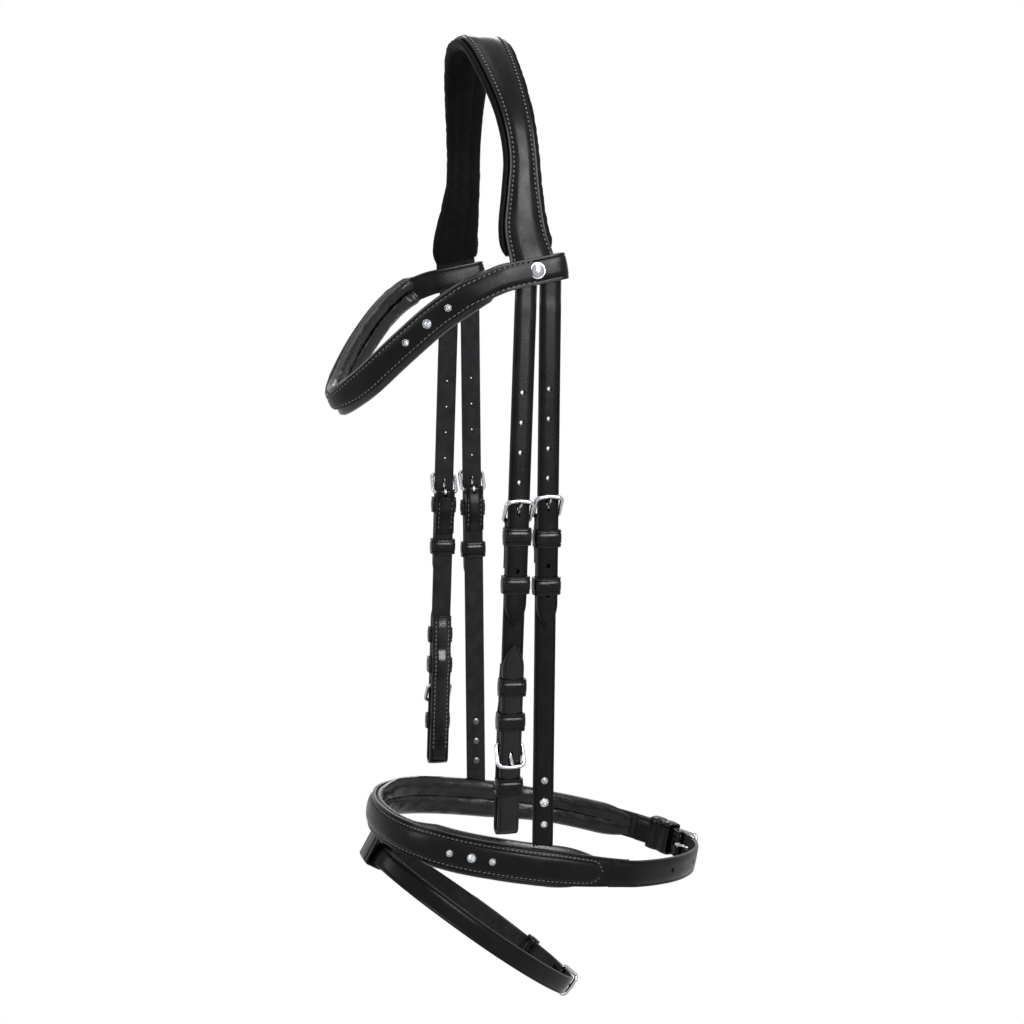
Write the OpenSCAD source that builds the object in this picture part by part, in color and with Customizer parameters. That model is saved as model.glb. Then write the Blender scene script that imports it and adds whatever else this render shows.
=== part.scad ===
// Snaffle bridle with an anatomical crown, a shaped browband and a flash noseband.
// +X is the near side (the horse's left), -Y the horse's nose, +Z up.
// The origin is the underside of the crown padding, on the poll.

/* [Head size] */
// Half of the distance between the cheek straps where they leave the crown
cheek_x = 91; // [84:1:112]
// Drop from the underside of the padding on the poll to the end of the crown
crown_drop = 180; // [165:1:218]
// Half width of the noseband at its widest
nose_x = 84; // [78:1:102]
// Reach of the noseband in front of the hangers
nose_front = 99; // [88:1:120]
// Reach of the noseband behind the hangers
nose_rear = 141; // [130:1:170]
// Reach of the browband in front of the crown's split
brow_reach = 88; // [73:1:106]
// Drop of the browband from its loops to its tip
brow_drop = 80; // [68:1:96]

/* [Straps] */
// Width of the cheek and hanger straps
strap_w = 14.4; // [12:0.2:17]
// Thickness of the strap leather
strap_t = 2.8; // [2.2:0.1:3.4]
// Thickness of a turned-back, skived end
fold_t = 1.8; // [1.4:0.1:2.4]
// Thickness of the doubled ply that holds the bit
bit_ply_t = 2.6; // [2:0.1:3.2]
// Gap between plies that lie on each other
ply_gap = 0.2; // [0.1:0.05:0.4]
// Distance between two punched holes
hole_pitch = 19; // [16:0.5:23]
// Radius of a punched hole
hole_r = 1.7; // [1.3:0.1:2.2]

/* [Lengths along the straps] */
// From the crown's end to the upper heel bar of the cheek strap
cheek_heel = 124.5; // [120:0.5:130]
// From the crown's end to the heel bar of the hanger strap
hanger_heel = 122.5; // [118:0.5:128]
// From the crown's end to the heel bar of the bit buckle
bit_heel = 270; // [262:1:322]
// From the crown's end to the bottom of the bit loop
bit_end = 330; // [322:1:380]
// From the crown's end to the noseband's top edge
hanger_end = 345; // [337:1:400]
// Billet past its heel bar
billet_tail = 67; // [60:1:70]
// Hanger billet past its heel bar
hanger_tail = 72; // [68:1:86]
// Turned-back end of a strap behind its heel bar
fold_l = 24; // [21:0.5:27]
// Turned-back end behind the heel bar of a cheek or hanger buckle
chape_l = 30.5; // [24:0.5:31]
// Bit billet's outer tip above its heel bar
bit_tail = 66; // [62:1:72]
// Top of the bit billet's inner ply above its heel bar
ply_top = 53; // [48:1:60]
// Forward lean of the cheek straps, degrees
cheek_lean = 2; // [0:0.5:3]

/* [Buckles] */
// Radius of the buckle wire
wire_r = 1.3; // [1:0.05:1.5]
// Length of a frame from its heel bar to its end bar
frame_l = 12.5; // [12:0.5:15]
// Radius of a tongue
tongue_r = 1; // [0.8:0.05:1.2]
// Side clearance between a strap and its frame
frame_gap = 0.3; // [0.2:0.05:0.5]
// Running clearance of a tongue's eye on its bar
eye_gap = 0.08; // [0.05:0.01:0.1]

/* [Keepers] */
// Height of a keeper along the strap
keeper_h = 11.6; // [9:0.2:13]
// Leather thickness of a keeper
keeper_t = 1.6; // [1.2:0.1:2]
// Clearance between a keeper and what it holds
keeper_gap = 0.3; // [0.2:0.05:0.5]

// From the heel bar down to the middle of the fixed keeper
keeper_1 = 9.3; // [8.8:0.1:11]
// From the heel bar down to the middle of the running keeper
keeper_2 = 40.5; // [38:0.5:44]
// From the hanger's heel bar down to where the cheek's keepers would start
hanger_keepers = 4.5; // [0:0.5:6]
// From the bit buckle's heel bar up to the highest keeper
bit_keeper_high = 38.2; // [36:0.2:46]
// From the bit buckle's heel bar up to the second keeper
bit_keeper_mid = 15.5; // [13:0.5:18]
// From the bit buckle's heel bar down to the lowest keeper
bit_keeper_low = 27.5; // [24:0.5:32]

/* [Crown] */
// Thickness of the crown padding
lining_t = 5; // [4:0.5:7]
// Width by which the padding stands out past the leather
piping = 3.2; // [2:0.2:4]
// Height of a browband loop along the crown
loop_h = 18; // [15:1:22]
// Clearance fore and aft in a browband loop
loop_gap = 1.9; // [1.6:0.1:3]

/* [Noseband and flash] */
// Height of the shaped front of the noseband
nose_h = 24; // [20:1:28]
// Height of the rear strap of the noseband
nose_rear_h = 19.5; // [17:0.5:22]
// Thickness of the noseband padding
nose_pad_t = 6; // [4:0.5:8]
// Slope of the noseband, degrees
nose_slope = 11.2; // [5:0.2:16]
// Width of the flash strap
flash_w = 13.6; // [12:0.2:15]
// Slope of the flash strap, degrees
flash_slope = 39; // [34:1:44]
// Length of the flash from its loop to its buckle
flash_l = 180; // [165:1:216]
// Half width of the flash at its widest
flash_x = 50; // [44:1:60]

/* [Stones] */
// Radius of a large stone
stone_big = 2.6; // [2.2:0.1:3]
// Radius of a small stone
stone_small = 1.9; // [1.5:0.1:2.2]
// Distance between two stones on a hanger
stone_pitch = 15; // [12:0.5:17]
// Height of the middle of a hanger's stones above the noseband's top edge
stones_up = 32; // [26:1:36]
// Radius of the plain stud on a browband end
stud_r = 5.2; // [4:0.1:6]

/* [Hidden] */

near = 1;
far = -1;
leather_black = [0.07, 0.07, 0.075];
lining_black = [0.13, 0.13, 0.14];
chrome = [0.78, 0.79, 0.80];
crystal = [0.90, 0.93, 0.96];
steps = 6;

// Layers of a buckled strap, outward from the middle of the billet
core_n = -(strap_t + ply_gap);
fold_n = core_n - (strap_t + fold_t) / 2 - ply_gap;
heel_n = (core_n + strap_t / 2 + fold_n - fold_t / 2) / 2;
wrap_r = (strap_t + ply_gap + fold_t) / 2;
end_n = strap_t / 2 + frame_gap + wire_r;
eye_r = wire_r + eye_gap;
ply_n = fold_n - fold_t / 2 - ply_gap - bit_ply_t / 2;

// Where the straps leave the crown and meet the noseband
split_gap = 2.6;
root_z = -crown_drop - split_gap * 0.6;
cheek_y = -17.8;
hanger_y = -1.2;
hanger_x = nose_x - 2.2;
hanger_lean = atan2(cheek_x - hanger_x, hanger_end);

// Splines through hand-set points
function cr(a, b, c, d, t) = 0.5 * (2 * b + (c - a) * t + (2 * a - 5 * b + 4 * c - d) * t * t
  + (3 * b - a - 3 * c + d) * t * t * t);
function at(p, i, loop) = loop ? p[(i + len(p)) % len(p)]
  : i < 0 ? 2 * p[0] - p[1]
  : i > len(p) - 1 ? 2 * p[len(p) - 1] - p[len(p) - 2]
  : p[i];
function spline(p, n = steps, loop = false) = [
  for (i = [0 : len(p) - (loop ? 1 : 2)])
    for (k = [0 : n - 1])
      cr(at(p, i - 1, loop), at(p, i, loop), at(p, i + 1, loop), at(p, i + 2, loop), k / n),
  if (!loop) p[len(p) - 1]];
function unit(v) = v / norm(v);
function run(p, i, loop) = unit(at(p, i + 1, loop) - at(p, i - 1, loop));
function side2(v) = [-v[1], v[0]];
function beside(p, d) = [for (i = [0 : len(p) - 1]) p[i] + d * side2(run(p, i, false))];
function reversed(p) = [for (i = [len(p) - 1 : -1 : 0]) p[i]];
function ribbon2(p, a, b) = concat(beside(p, a), reversed(beside(p, b)));
function flipx(p) = [for (q = reversed(p)) [-q[0], q[1]]];
function flip3(p) = [for (q = reversed(p)) [-q[0], q[1], q[2]]];

// A band swept along a path in space: up is its width direction, one or one a ring, section holds
// [height, outward] corners going round, and grow scales the section at each ring
module sweep(path, up, section, grow, loop = false) {
  m = len(path);
  k = len(section);
  rings = [for (i = [0 : m - 1])
    let (t = run(path, i, loop))
    let (u = is_list(up[0]) ? up[i] : up)
    let (w = unit(u - (u * t) * t))
    let (n = cross(w, t))
    for (s = section) path[i] + w * s[0] * grow[i][0] + n * s[1] * grow[i][1]];
  sides = [for (i = [0 : m - (loop ? 1 : 2)]) for (j = [0 : k - 1])
    let (a = i * k + j)
    let (b = i * k + (j + 1) % k)
    let (c = ((i + 1) % m) * k + (j + 1) % k)
    let (d = ((i + 1) % m) * k + j)
    for (f = [[a, b, c], [a, c, d]]) f];
  caps = loop ? [] : [[for (j = [k - 1 : -1 : 0]) j], [for (j = [0 : k - 1]) (m - 1) * k + j]];
  polyhedron(rings, concat(sides, caps), convexity = 10);
}

// A flat outline in the strap's own plane: y across, z along, extruded through its thickness
module across(t) {
  translate([-t / 2, 0, 0])
    rotate([90, 0, 90])
      linear_extrude(t)
        children();
}

// An outline seen from the front, x and z, extruded across the strap's width
module along(w) {
  translate([0, w / 2, 0])
    rotate([90, 0, 0])
      linear_extrude(w)
        children();
}

// A strap's outline with a pointed tip below
module pointed(w, from, to) {
  point = w * 0.75;
  polygon(concat([[w / 2, -from], [-w / 2, -from]],
    [for (a = [0 : 15 : 90]) [-w / 2 * cos(a) , -(to - point) - point * sin(a) * (0.55 + 0.45 * a / 90)]],
    [for (a = [75 : -15 : 0]) [w / 2 * cos(a), -(to - point) - point * sin(a) * (0.55 + 0.45 * a / 90)]]));
}

// ---- Buckles and keepers. The heel bar lies along Y at z = 0 and the end bar above it ----

module bar(x, z, half, r) {
  translate([x, 0, z])
    rotate([90, 0, 0])
      cylinder(h = 2 * half, r = r, center = true, $fn = 32);
}

module buckle_frame(w) {
  half = w / 2 + frame_gap + wire_r;
  arm = norm([end_n - heel_n, frame_l]);
  lean = atan2(end_n - heel_n, frame_l);
  bar(heel_n, 0, half + wire_r, wire_r);
  bar(end_n, frame_l, half + wire_r, wire_r);
  for (s = [-1, 1])
    translate([heel_n, s * half, 0])
      rotate([0, lean, 0])
        cylinder(h = arm, r = 0.9 * wire_r, $fn = 32);
}

module buckle_tongue() {
  over = wire_r + tongue_r + 0.3;
  arm = norm([end_n - heel_n, frame_l]);
  tip = sqrt(arm * arm - over * over) + 1;
  lean = atan2(end_n - heel_n, frame_l) + asin(over / arm);
  difference() {
    union() {
      bar(heel_n, 0, tongue_r * 1.5, eye_r + tongue_r);
      translate([heel_n, 0, 0])
        rotate([0, lean, 0])
          translate([0, 0, eye_r + tongue_r * 0.5]) {
            cylinder(h = tip - eye_r - tongue_r * 0.5, r = tongue_r, $fn = 32);
            translate([0, 0, tip - eye_r - tongue_r * 0.5])
              sphere(r = tongue_r, $fn = 32);
          }
    }
    bar(heel_n, 0, strap_w, eye_r);
  }
}

// Slot in the turned end that lets the tongue out
module tongue_slot() {
  half = tongue_r * 1.5 + 0.4;
  translate([heel_n - 6, -half, -5])
    cube([12, 2 * half, 12]);
}

// The slot that the tongue takes through the billet
module billet_slot() {
  half = tongue_r + 0.35;
  for (z = [2.2, 10.4])
    translate([0, 0, z])
      rotate([0, 90, 0])
        cylinder(h = 2 * strap_t, r = half, center = true, $fn = 32);
  translate([-strap_t, -half, 2.2])
    cube([2 * strap_t, 2 * half, 10.4 - 2.2]);
}

// The end of a strap turned round the heel bar and back down behind it
module turned_end(w, fold_l) {
  difference() {
    union() {
      difference() {
        bar(heel_n, 0, w / 2, wrap_r);
        translate([heel_n - 2 * wrap_r, -w, -2 * wrap_r])
          cube([4 * wrap_r, 2 * w, 2 * wrap_r]);
      }
      translate([core_n - strap_t / 2, -w / 2, -wrap_r])
        cube([strap_t, w, wrap_r]);
      translate([fold_n, 0, 0])
        across(fold_t)
          pointed(w, 0, fold_l);
    }
    bar(heel_n, 0, w, wire_r + 0.02);
    tongue_slot();
  }
}

module keeper(w, low, high, gap = keeper_gap, h = keeper_h) {
  translate([(low + high) / 2, 0, -h / 2])
    linear_extrude(h)
      difference() {
        square([high - low + 2 * (gap + keeper_t), w + 2 * (gap + keeper_t)], center = true);
        square([high - low + 2 * gap, w + 2 * gap], center = true);
      }
}

// A stone's cup stands on the leather with the stone in it; x points outward
module cup(r) {
  rotate([0, 90, 0])
    difference() {
      cylinder(h = 1.5, r = r + 0.7, $fn = 32);
      translate([0, 0, 0.5])
        cylinder(h = 2, r = r + 0.03, $fn = 32);
    }
}

module rivet(depth) {
  translate([-depth - 0.6, 0, 0])
    rotate([0, 90, 0])
      cylinder(h = 0.6, r = 2.5, $fn = 32);
}

module stone(r) {
  translate([0.53, 0, 0])
    rotate([0, 90, 0])
      rotate_extrude($fn = 32)
        polygon([[0, 0], [r, 0], [r, 0.9], [r * 0.6, 1.7], [0, 1.7]]);
}

// ---- Places ----

module on_side(side) {
  if (side == far)
    mirror([1, 0, 0])
      children();
  else
    children();
}

module cheek_place(side) {
  on_side(side)
    translate([cheek_x, cheek_y, root_z])
      rotate([-cheek_lean, 0, 0])
        children();
}

module hanger_place(side) {
  on_side(side)
    translate([cheek_x, hanger_y, root_z])
      rotate([0, hanger_lean, 0])
        children();
}

module down(d) {
  translate([0, 0, -d])
    children();
}

// ---- Crown ----

arch_shape = [[0, 0], [0.26, 0.035], [0.53, 0.175], [0.715, 0.335], [0.81, 0.54],
  [0.905, 0.69], [0.985, 0.80], [1, 0.90], [1, 1]];
arch_x = cheek_x - strap_t / 2;
arch_half = [for (p = arch_shape) [p[0] * arch_x, lining_t - p[1] * (crown_drop + lining_t)]];
arch_path = concat(flipx([for (i = [1 : len(arch_half) - 1]) arch_half[i]]), arch_half);

// Fore and aft edges of the crown leather: share of the drop, distance in y
crown_fore = [[0.02, -36], [-0.12, -30], [-0.26, -24.5], [-0.42, -21.5], [-0.54, -24], [-0.68, -28.5],
  [-0.79, -27], [-0.9, -25.5], [-1, -25.2]];
crown_aft = [[0.02, -8], [-0.12, -6.5], [-0.26, -5], [-0.42, -3.6], [-0.54, -3], [-0.68, -1.5],
  [-0.79, 2.5], [-0.9, 5], [-1, 6]];
lining_end = 0.75;

function edge(p, grow) = spline([for (q = p) [q[1] + grow, q[0] * crown_drop]]);

module crown_outline(grow) {
  polygon(concat([[-36 - grow, 30], [-8 + grow, 30]], edge(crown_aft, grow), reversed(edge(crown_fore, -grow))));
}

module crown_slab(a, b, grow) {
  intersection() {
    along(160)
      polygon(ribbon2(spline(arch_path), a, b));
    translate([-150, 0, 0])
      rotate([90, 0, 90])
        linear_extrude(300)
          crown_outline(grow);
  }
}

module crown_leather() {
  color(leather_black)
    crown_slab(0, strap_t, 0);
}

module crown_padding() {
  color(lining_black)
    difference() {
      crown_slab(-lining_t, -0.1, piping);
      translate([-150, -100, -crown_drop - 20])
        cube([300, 200, crown_drop * (1 - lining_end) + 20]);
    }
}

// ---- Browband ----

brow_z = -0.845 * crown_drop;
brow_mid_y = (crown_fore[6][1] + crown_aft[7][1]) / 2;
loop_in_y = crown_aft[7][1] - crown_fore[6][1] + 2 * loop_gap;
loop_mid_x = arch_x + strap_t / 2 - 0.4;
loop_in_x = strap_t + 4.4;
loop_t = 2.2;
brow_leather_t = 2.6;
brow_h = 17;
brow_pad_t = 7;
brow_start_y = brow_mid_y - loop_in_y / 2 - loop_t - 3.4;
brow_x = loop_mid_x + loop_in_x / 2;

brow_shape = [[0.975, 0, 0], [1, 0.08, 0.03], [0.97, 0.24, 0.135], [0.82, 0.44, 0.31], [0.61, 0.67, 0.58],
  [0.34, 0.87, 0.85], [0, 1, 1]];
brow_half = [for (p = brow_shape)
  [p[0] * (brow_x + 2.5), brow_start_y - p[1] * brow_reach, brow_z - p[2] * brow_drop]];
brow_path = spline(concat(brow_half, flip3([for (i = [0 : len(brow_half) - 2]) brow_half[i]])), 5);
brow_up = [0, -0.45, 0.9];
function evenly(p) = [for (q = p) [1, 1]];

brow_ups = [for (i = [0 : len(brow_path) - 1])
  [0, brow_up[1] * min(1, min(i, len(brow_path) - 1 - i) / 8), brow_up[2]]];

module browband_leather() {
  h = brow_h / 2;
  color(leather_black)
    sweep(brow_path, brow_ups, [[-h, 0], [h, 0], [h, brow_leather_t], [-h, brow_leather_t]],
      evenly(brow_path));
}

module browband_padding() {
  rings = [3 : len(brow_path) - 4];
  trim = [for (i = rings) brow_path[i]];
  r = brow_pad_t;
  h = brow_h / 2 + 2.6;
  color(lining_black)
    sweep(trim, [for (i = rings) brow_ups[i]],
      [[-h, -0.6], [-h, -0.65 * r], [-h + 2.4, -r], [-2, -r], [0, -0.55 * r], [2, -r], [h - 2.4, -r],
       [h, -0.65 * r], [h, -0.6]], evenly(trim));
}

module browband_loop(side) {
  color(leather_black)
    on_side(side)
      translate([loop_mid_x, brow_mid_y, brow_z - loop_h / 2])
        linear_extrude(loop_h)
          difference() {
            square([loop_in_x + 2 * loop_t, loop_in_y + 2 * loop_t], center = true);
            square([loop_in_x, loop_in_y], center = true);
          }
}

module near_browband_loop() {
  browband_loop(near);
}

module far_browband_loop() {
  browband_loop(far);
}

// The point and heading of a near-side path where it passes a distance y
function crossing(p, y, first, last) = [for (i = [first : last])
  if (p[i][1] >= y && p[i + 1][1] < y)
    let (k = (p[i][1] - y) / (p[i][1] - p[i + 1][1]))
    [p[i] + k * (p[i + 1] - p[i]), unit(p[i + 1] - p[i])]][0];

// A stone or its cup on the outer face of a band: x points outward
module on_band(spot, up, out) {
  t = spot[1];
  w = unit(up - (up * t) * t);
  n = cross(w, t);
  p = spot[0] + n * out;
  multmatrix([[n[0], t[0], w[0], p[0]], [n[1], t[1], w[1], p[1]], [n[2], t[2], w[2], p[2]]])
    children();
}

brow_stone_y = [for (k = [0 : 2]) brow_start_y - (0.35 + 0.125 * k) * brow_reach];

module on_brow(k) {
  on_band(crossing(brow_path, brow_stone_y[k], 0, 28), brow_up, brow_leather_t + 0.05)
    children();
}

module browband_settings() {
  color(chrome)
    for (side = [near, far])
      on_side(side)
        for (k = [0 : 2])
          on_brow(k)
            cup(k == 1 ? stone_big : stone_small);
}

module browband_stones() {
  color(crystal)
    for (side = [near, far])
      on_side(side)
        for (k = [0 : 2])
          on_brow(k)
            stone(k == 1 ? stone_big : stone_small);
}

module browband_studs() {
  color(chrome)
    for (side = [near, far])
      on_side(side)
        translate([loop_mid_x + loop_in_x / 2 + loop_t, brow_mid_y, brow_z])
          rotate([0, 90, 0])
            rotate_extrude($fn = 48)
              polygon([[0, 0.05], [stud_r, 0.05], [stud_r, 0.7], [stud_r - 0.7, 1.3], [0, 1.5]]);
}

// ---- Cheekpieces ----

module billet(heel, tail, below) {
  used = heel - 6.3;
  color(leather_black)
    difference() {
      across(strap_t)
        pointed(strap_w, split_gap * 0.4, heel + tail);
      for (k = [-4 : below])
        if (k != 0 && k * hole_pitch + hole_r < tail - hole_r - 1)
          down(used + k * hole_pitch)
            rotate([0, 90, 0])
              cylinder(h = 2 * strap_t, r = hole_r, center = true, $fn = 32);
      down(heel)
        billet_slot();
    }
}

module strap_core(from, to) {
  translate([core_n - strap_t / 2, -strap_w / 2, -to])
    cube([strap_t, strap_w, to - from]);
}

module cheek_strap(side) {
  color(leather_black)
    cheek_place(side) {
      difference() {
        strap_core(cheek_heel, bit_heel);
        down(cheek_heel)
          heel_cut();
        down(bit_heel)
          mirror([0, 0, 1])
            heel_cut();
      }
      down(cheek_heel)
        turned_end(strap_w, chape_l);
      down(bit_heel)
        mirror([0, 0, 1])
          turned_end(strap_w, fold_l - 4);
    }
}

// What the bar and the tongue need out of the strap's own end
module heel_cut() {
  bar(heel_n, 0, strap_w, wire_r + 0.02);
  tongue_slot();
}

module upper_buckle() {
  color(chrome)
    buckle_frame(strap_w);
}

module tongue() {
  color(chrome)
    buckle_tongue();
}

module fixed_keeper() {
  color(leather_black)
    down(keeper_1)
      keeper(strap_w, fold_n - fold_t / 2, strap_t / 2);
}

module runner_keeper() {
  color(leather_black)
    down(keeper_2)
      keeper(strap_w, core_n - strap_t / 2, strap_t / 2);
}

// The ply that comes down the inside, turns up round the bit ring and ends in a point outside
ply_r = -ply_n / 2;
near_core_n = core_n - strap_t / 2 - ply_gap - bit_ply_t / 2;

module bit_ply() {
  low = bit_end - ply_r - bit_ply_t / 2;
  tip = bit_heel - bit_tail;
  inner_path = [[near_core_n, -(bit_heel - ply_top)], [near_core_n, -(bit_heel - fold_l - 6)],
    [ply_n, -(bit_heel - fold_l + 2)], [ply_n, -low]];
  color(leather_black) {
    along(strap_w)
      polygon(ribbon2(inner_path, -bit_ply_t / 2, bit_ply_t / 2));
    difference() {
      translate([ply_n / 2, 0, -low])
        bar(0, 0, strap_w / 2, ply_r + bit_ply_t / 2);
      translate([ply_n / 2, 0, -low])
        bar(0, 0, strap_w, ply_r - bit_ply_t / 2);
      translate([ply_n / 2 - 10, -strap_w, -low])
        cube([20, 2 * strap_w, 20]);
    }
    difference() {
      translate([-bit_ply_t / 2, -strap_w / 2, -low])
        cube([bit_ply_t, strap_w, low - tip]);
      difference() {
        translate([-3, -strap_w, -tip - 14])
          cube([6, 2 * strap_w, 30]);
        mirror([0, 0, 1])
          across(12)
            pointed(strap_w, -tip - 60, -tip);
      }
      down(bit_heel)
        mirror([0, 0, 1])
          billet_slot();
    }
  }
}

module bit_keepers(side) {
  color(leather_black)
    cheek_place(side) {
      down(bit_heel - bit_keeper_high)
        keeper(strap_w, near_core_n - bit_ply_t / 2, bit_ply_t / 2);
      down(bit_heel - bit_keeper_mid)
        keeper(strap_w, ply_n - bit_ply_t / 2, bit_ply_t / 2);
      down(bit_heel + bit_keeper_low)
        keeper(strap_w, ply_n - bit_ply_t / 2, bit_ply_t / 2);
    }
}

module near_cheek_billet() {
  cheek_place(near)
    billet(cheek_heel, billet_tail, 2);
}

module far_cheek_billet() {
  cheek_place(far)
    billet(cheek_heel, billet_tail, 2);
}

module near_cheek_strap() {
  cheek_strap(near);
}

module far_cheek_strap() {
  cheek_strap(far);
}

module near_cheek_buckle() {
  cheek_place(near)
    down(cheek_heel)
      upper_buckle();
}

module far_cheek_buckle() {
  cheek_place(far)
    down(cheek_heel)
      upper_buckle();
}

module near_cheek_tongue() {
  cheek_place(near)
    down(cheek_heel)
      tongue();
}

module far_cheek_tongue() {
  cheek_place(far)
    down(cheek_heel)
      tongue();
}

module near_cheek_keeper() {
  cheek_place(near)
    down(cheek_heel)
      fixed_keeper();
}

module far_cheek_keeper() {
  cheek_place(far)
    down(cheek_heel)
      fixed_keeper();
}

module near_cheek_runner() {
  cheek_place(near)
    down(cheek_heel)
      runner_keeper();
}

module far_cheek_runner() {
  cheek_place(far)
    down(cheek_heel)
      runner_keeper();
}

module near_bit_billet() {
  cheek_place(near)
    bit_ply();
}

module far_bit_billet() {
  cheek_place(far)
    bit_ply();
}

module bit_place(side) {
  cheek_place(side)
    down(bit_heel)
      mirror([0, 0, 1])
        children();
}

module near_bit_buckle() {
  bit_place(near)
    upper_buckle();
}

module far_bit_buckle() {
  bit_place(far)
    upper_buckle();
}

module near_bit_tongue() {
  bit_place(near)
    tongue();
}

module far_bit_tongue() {
  bit_place(far)
    tongue();
}

module near_bit_keepers() {
  bit_keepers(near);
}

module far_bit_keepers() {
  bit_keepers(far);
}

// ---- Noseband hangers ----

module hanger_strap(side) {
  color(leather_black)
    hanger_place(side) {
      difference() {
        strap_core(hanger_heel, hanger_end - 3.6);
        down(hanger_heel)
          heel_cut();
      }
      down(hanger_heel)
        turned_end(strap_w, chape_l);
    }
}

module on_hanger(k) {
  translate([core_n + strap_t / 2 + 0.05, 0, -(hanger_end - stones_up + (k - 1) * stone_pitch)])
    children();
}

module hanger_settings(side) {
  color(chrome)
    hanger_place(side)
      for (k = [0 : 2])
        on_hanger(k) {
          cup(k == 1 ? stone_big : stone_small);
          rivet(strap_t + 0.1);
        }
}

module hanger_stones(side) {
  color(crystal)
    hanger_place(side)
      for (k = [0 : 2])
        on_hanger(k)
          stone(k == 1 ? stone_big : stone_small);
}

module near_hanger_billet() {
  hanger_place(near)
    billet(hanger_heel, hanger_tail, 4);
}

module far_hanger_billet() {
  hanger_place(far)
    billet(hanger_heel, hanger_tail, 4);
}

module near_hanger_strap() {
  hanger_strap(near);
}

module far_hanger_strap() {
  hanger_strap(far);
}

module near_hanger_buckle() {
  hanger_place(near)
    down(hanger_heel)
      upper_buckle();
}

module far_hanger_buckle() {
  hanger_place(far)
    down(hanger_heel)
      upper_buckle();
}

module near_hanger_tongue() {
  hanger_place(near)
    down(hanger_heel)
      tongue();
}

module far_hanger_tongue() {
  hanger_place(far)
    down(hanger_heel)
      tongue();
}

module near_hanger_keeper() {
  hanger_place(near)
    down(hanger_heel + hanger_keepers)
      fixed_keeper();
}

module far_hanger_keeper() {
  hanger_place(far)
    down(hanger_heel + hanger_keepers)
      fixed_keeper();
}

module near_hanger_runner() {
  hanger_place(near)
    down(hanger_heel + hanger_keepers)
      runner_keeper();
}

module far_hanger_runner() {
  hanger_place(far)
    down(hanger_heel + hanger_keepers)
      runner_keeper();
}

module near_hanger_settings() {
  hanger_settings(near);
}

module far_hanger_settings() {
  hanger_settings(far);
}

module near_hanger_stones() {
  hanger_stones(near);
}

module far_hanger_stones() {
  hanger_stones(far);
}

// ---- Noseband, in a frame that slopes down to the rear ----

overlay_t = 2.4;
nose_z = root_z - hanger_end - nose_h / 2;
nose_shape = [[1, 0.14], [0.955, -0.26], [0.80, -0.64], [0.47, -0.91], [0, -1],
  [-0.47, -0.91], [-0.80, -0.64], [-0.955, -0.26], [-1, 0.14],
  [-0.94, 0.44], [-0.71, 0.72], [-0.42, 0.91], [-0.17, 0.985],
  [0.17, 0.985], [0.42, 0.91], [0.71, 0.72], [0.94, 0.44]];
nose_n = 6;
nose_loop = spline([for (p = nose_shape)
  [p[0] * nose_x, p[1] < 0 ? p[1] * nose_front : p[1] * nose_rear, 0]], nose_n, true);
nose_up = [0, 0, 1];
function taper(y) = y < 10 ? 0 : y > 60 ? 1 : (y - 10) / 50;
function nose_half_h(y) = (nose_h + (nose_rear_h - nose_h) * taper(y)) / 2 - (y < -nose_front * 0.85 ? 1 : 0);
function stretch(p, from, to) = [for (i = [from : to]) p[(i + len(p)) % len(p)]];

module nose_place() {
  translate([0, hanger_y, nose_z])
    rotate([-nose_slope, 0, 0])
      children();
}

// Where the chin strap is buckled: local x points to the rear and z to the near side
chin_y = 0.992 * nose_rear;
chin_x = -0.07 * nose_x;

module chin_place() {
  nose_place()
    translate([chin_x, chin_y - strap_t / 2 - core_n, 0])
      rotate([90, 0, 90])
        children();
}

// A band along part of a closed path, from one offset to the other, with a height of its own
module loop_band(path, from, to, inner, outer, half_h) {
  part = stretch(path, from, to);
  sweep(part, nose_up, [[-1, inner], [1, inner], [1, outer], [-1, outer]], [for (q = part) [half_h, 1]]);
}

// The turn of a strap round its heel bar, without the fold
module heel_turn(w) {
  intersection() {
    turned_end(w, fold_l);
    translate([-20, -2 * w, -2 * wire_r])
      cube([40, 4 * w, 40]);
  }
}

near_seam = 16 * nose_n;
far_end = 12 * nose_n + 2;

module noseband_leather() {
  path = stretch(nose_loop, near_seam - len(nose_loop), far_end);
  grow = [for (q = path) [nose_half_h(q[1]), 1]];
  color(leather_black) {
    difference() {
      nose_place() {
        sweep(path, nose_up, [[-1, -strap_t], [1, -strap_t], [1, 0], [-1, 0]], grow);
        loop_band(nose_loop, far_end - 5, far_end, -strap_t - ply_gap - fold_t, -0.5 * strap_t, nose_rear_h / 2 - 0.3);
      }
      chin_place()
        heel_cut();
    }
    chin_place()
      heel_turn(nose_rear_h - 0.6);
  }
}

module noseband_overlay() {
  path = stretch(nose_loop, -1, 8 * nose_n + 1);
  last = len(path) - 1;
  ends = [for (i = [0 : last]) let (e = min(i, last - i)) e == 0 ? 0.45 : e == 1 ? 0.85 : 1];
  grow = [for (i = [0 : last]) [(nose_half_h(path[i][1]) - 3.4) * ends[i], 1]];
  color(leather_black)
    nose_place()
      sweep(path, nose_up, [[-1, 0.1], [1, 0.1], [1, overlay_t * 0.6], [0.8, overlay_t], [-0.8, overlay_t],
        [-1, overlay_t * 0.6]], grow);
}

module noseband_padding() {
  path = stretch(nose_loop, -1, 10 * nose_n + 1);
  grow = [for (q = path) [nose_half_h(q[1]) + (q[1] < -nose_front * 0.85 ? -1.4 : 1.6), 1]];
  a = -strap_t - 0.3;
  b = a - nose_pad_t;
  color(lining_black)
    nose_place()
      sweep(path, nose_up, [[-1, b + nose_pad_t * 0.4], [-0.8, b + 0.4], [-0.3, b], [0, b + nose_pad_t * 0.5],
        [0.3, b], [0.8, b + 0.4], [1, b + nose_pad_t * 0.4], [1, a], [-1, a]], grow);
}

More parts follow.
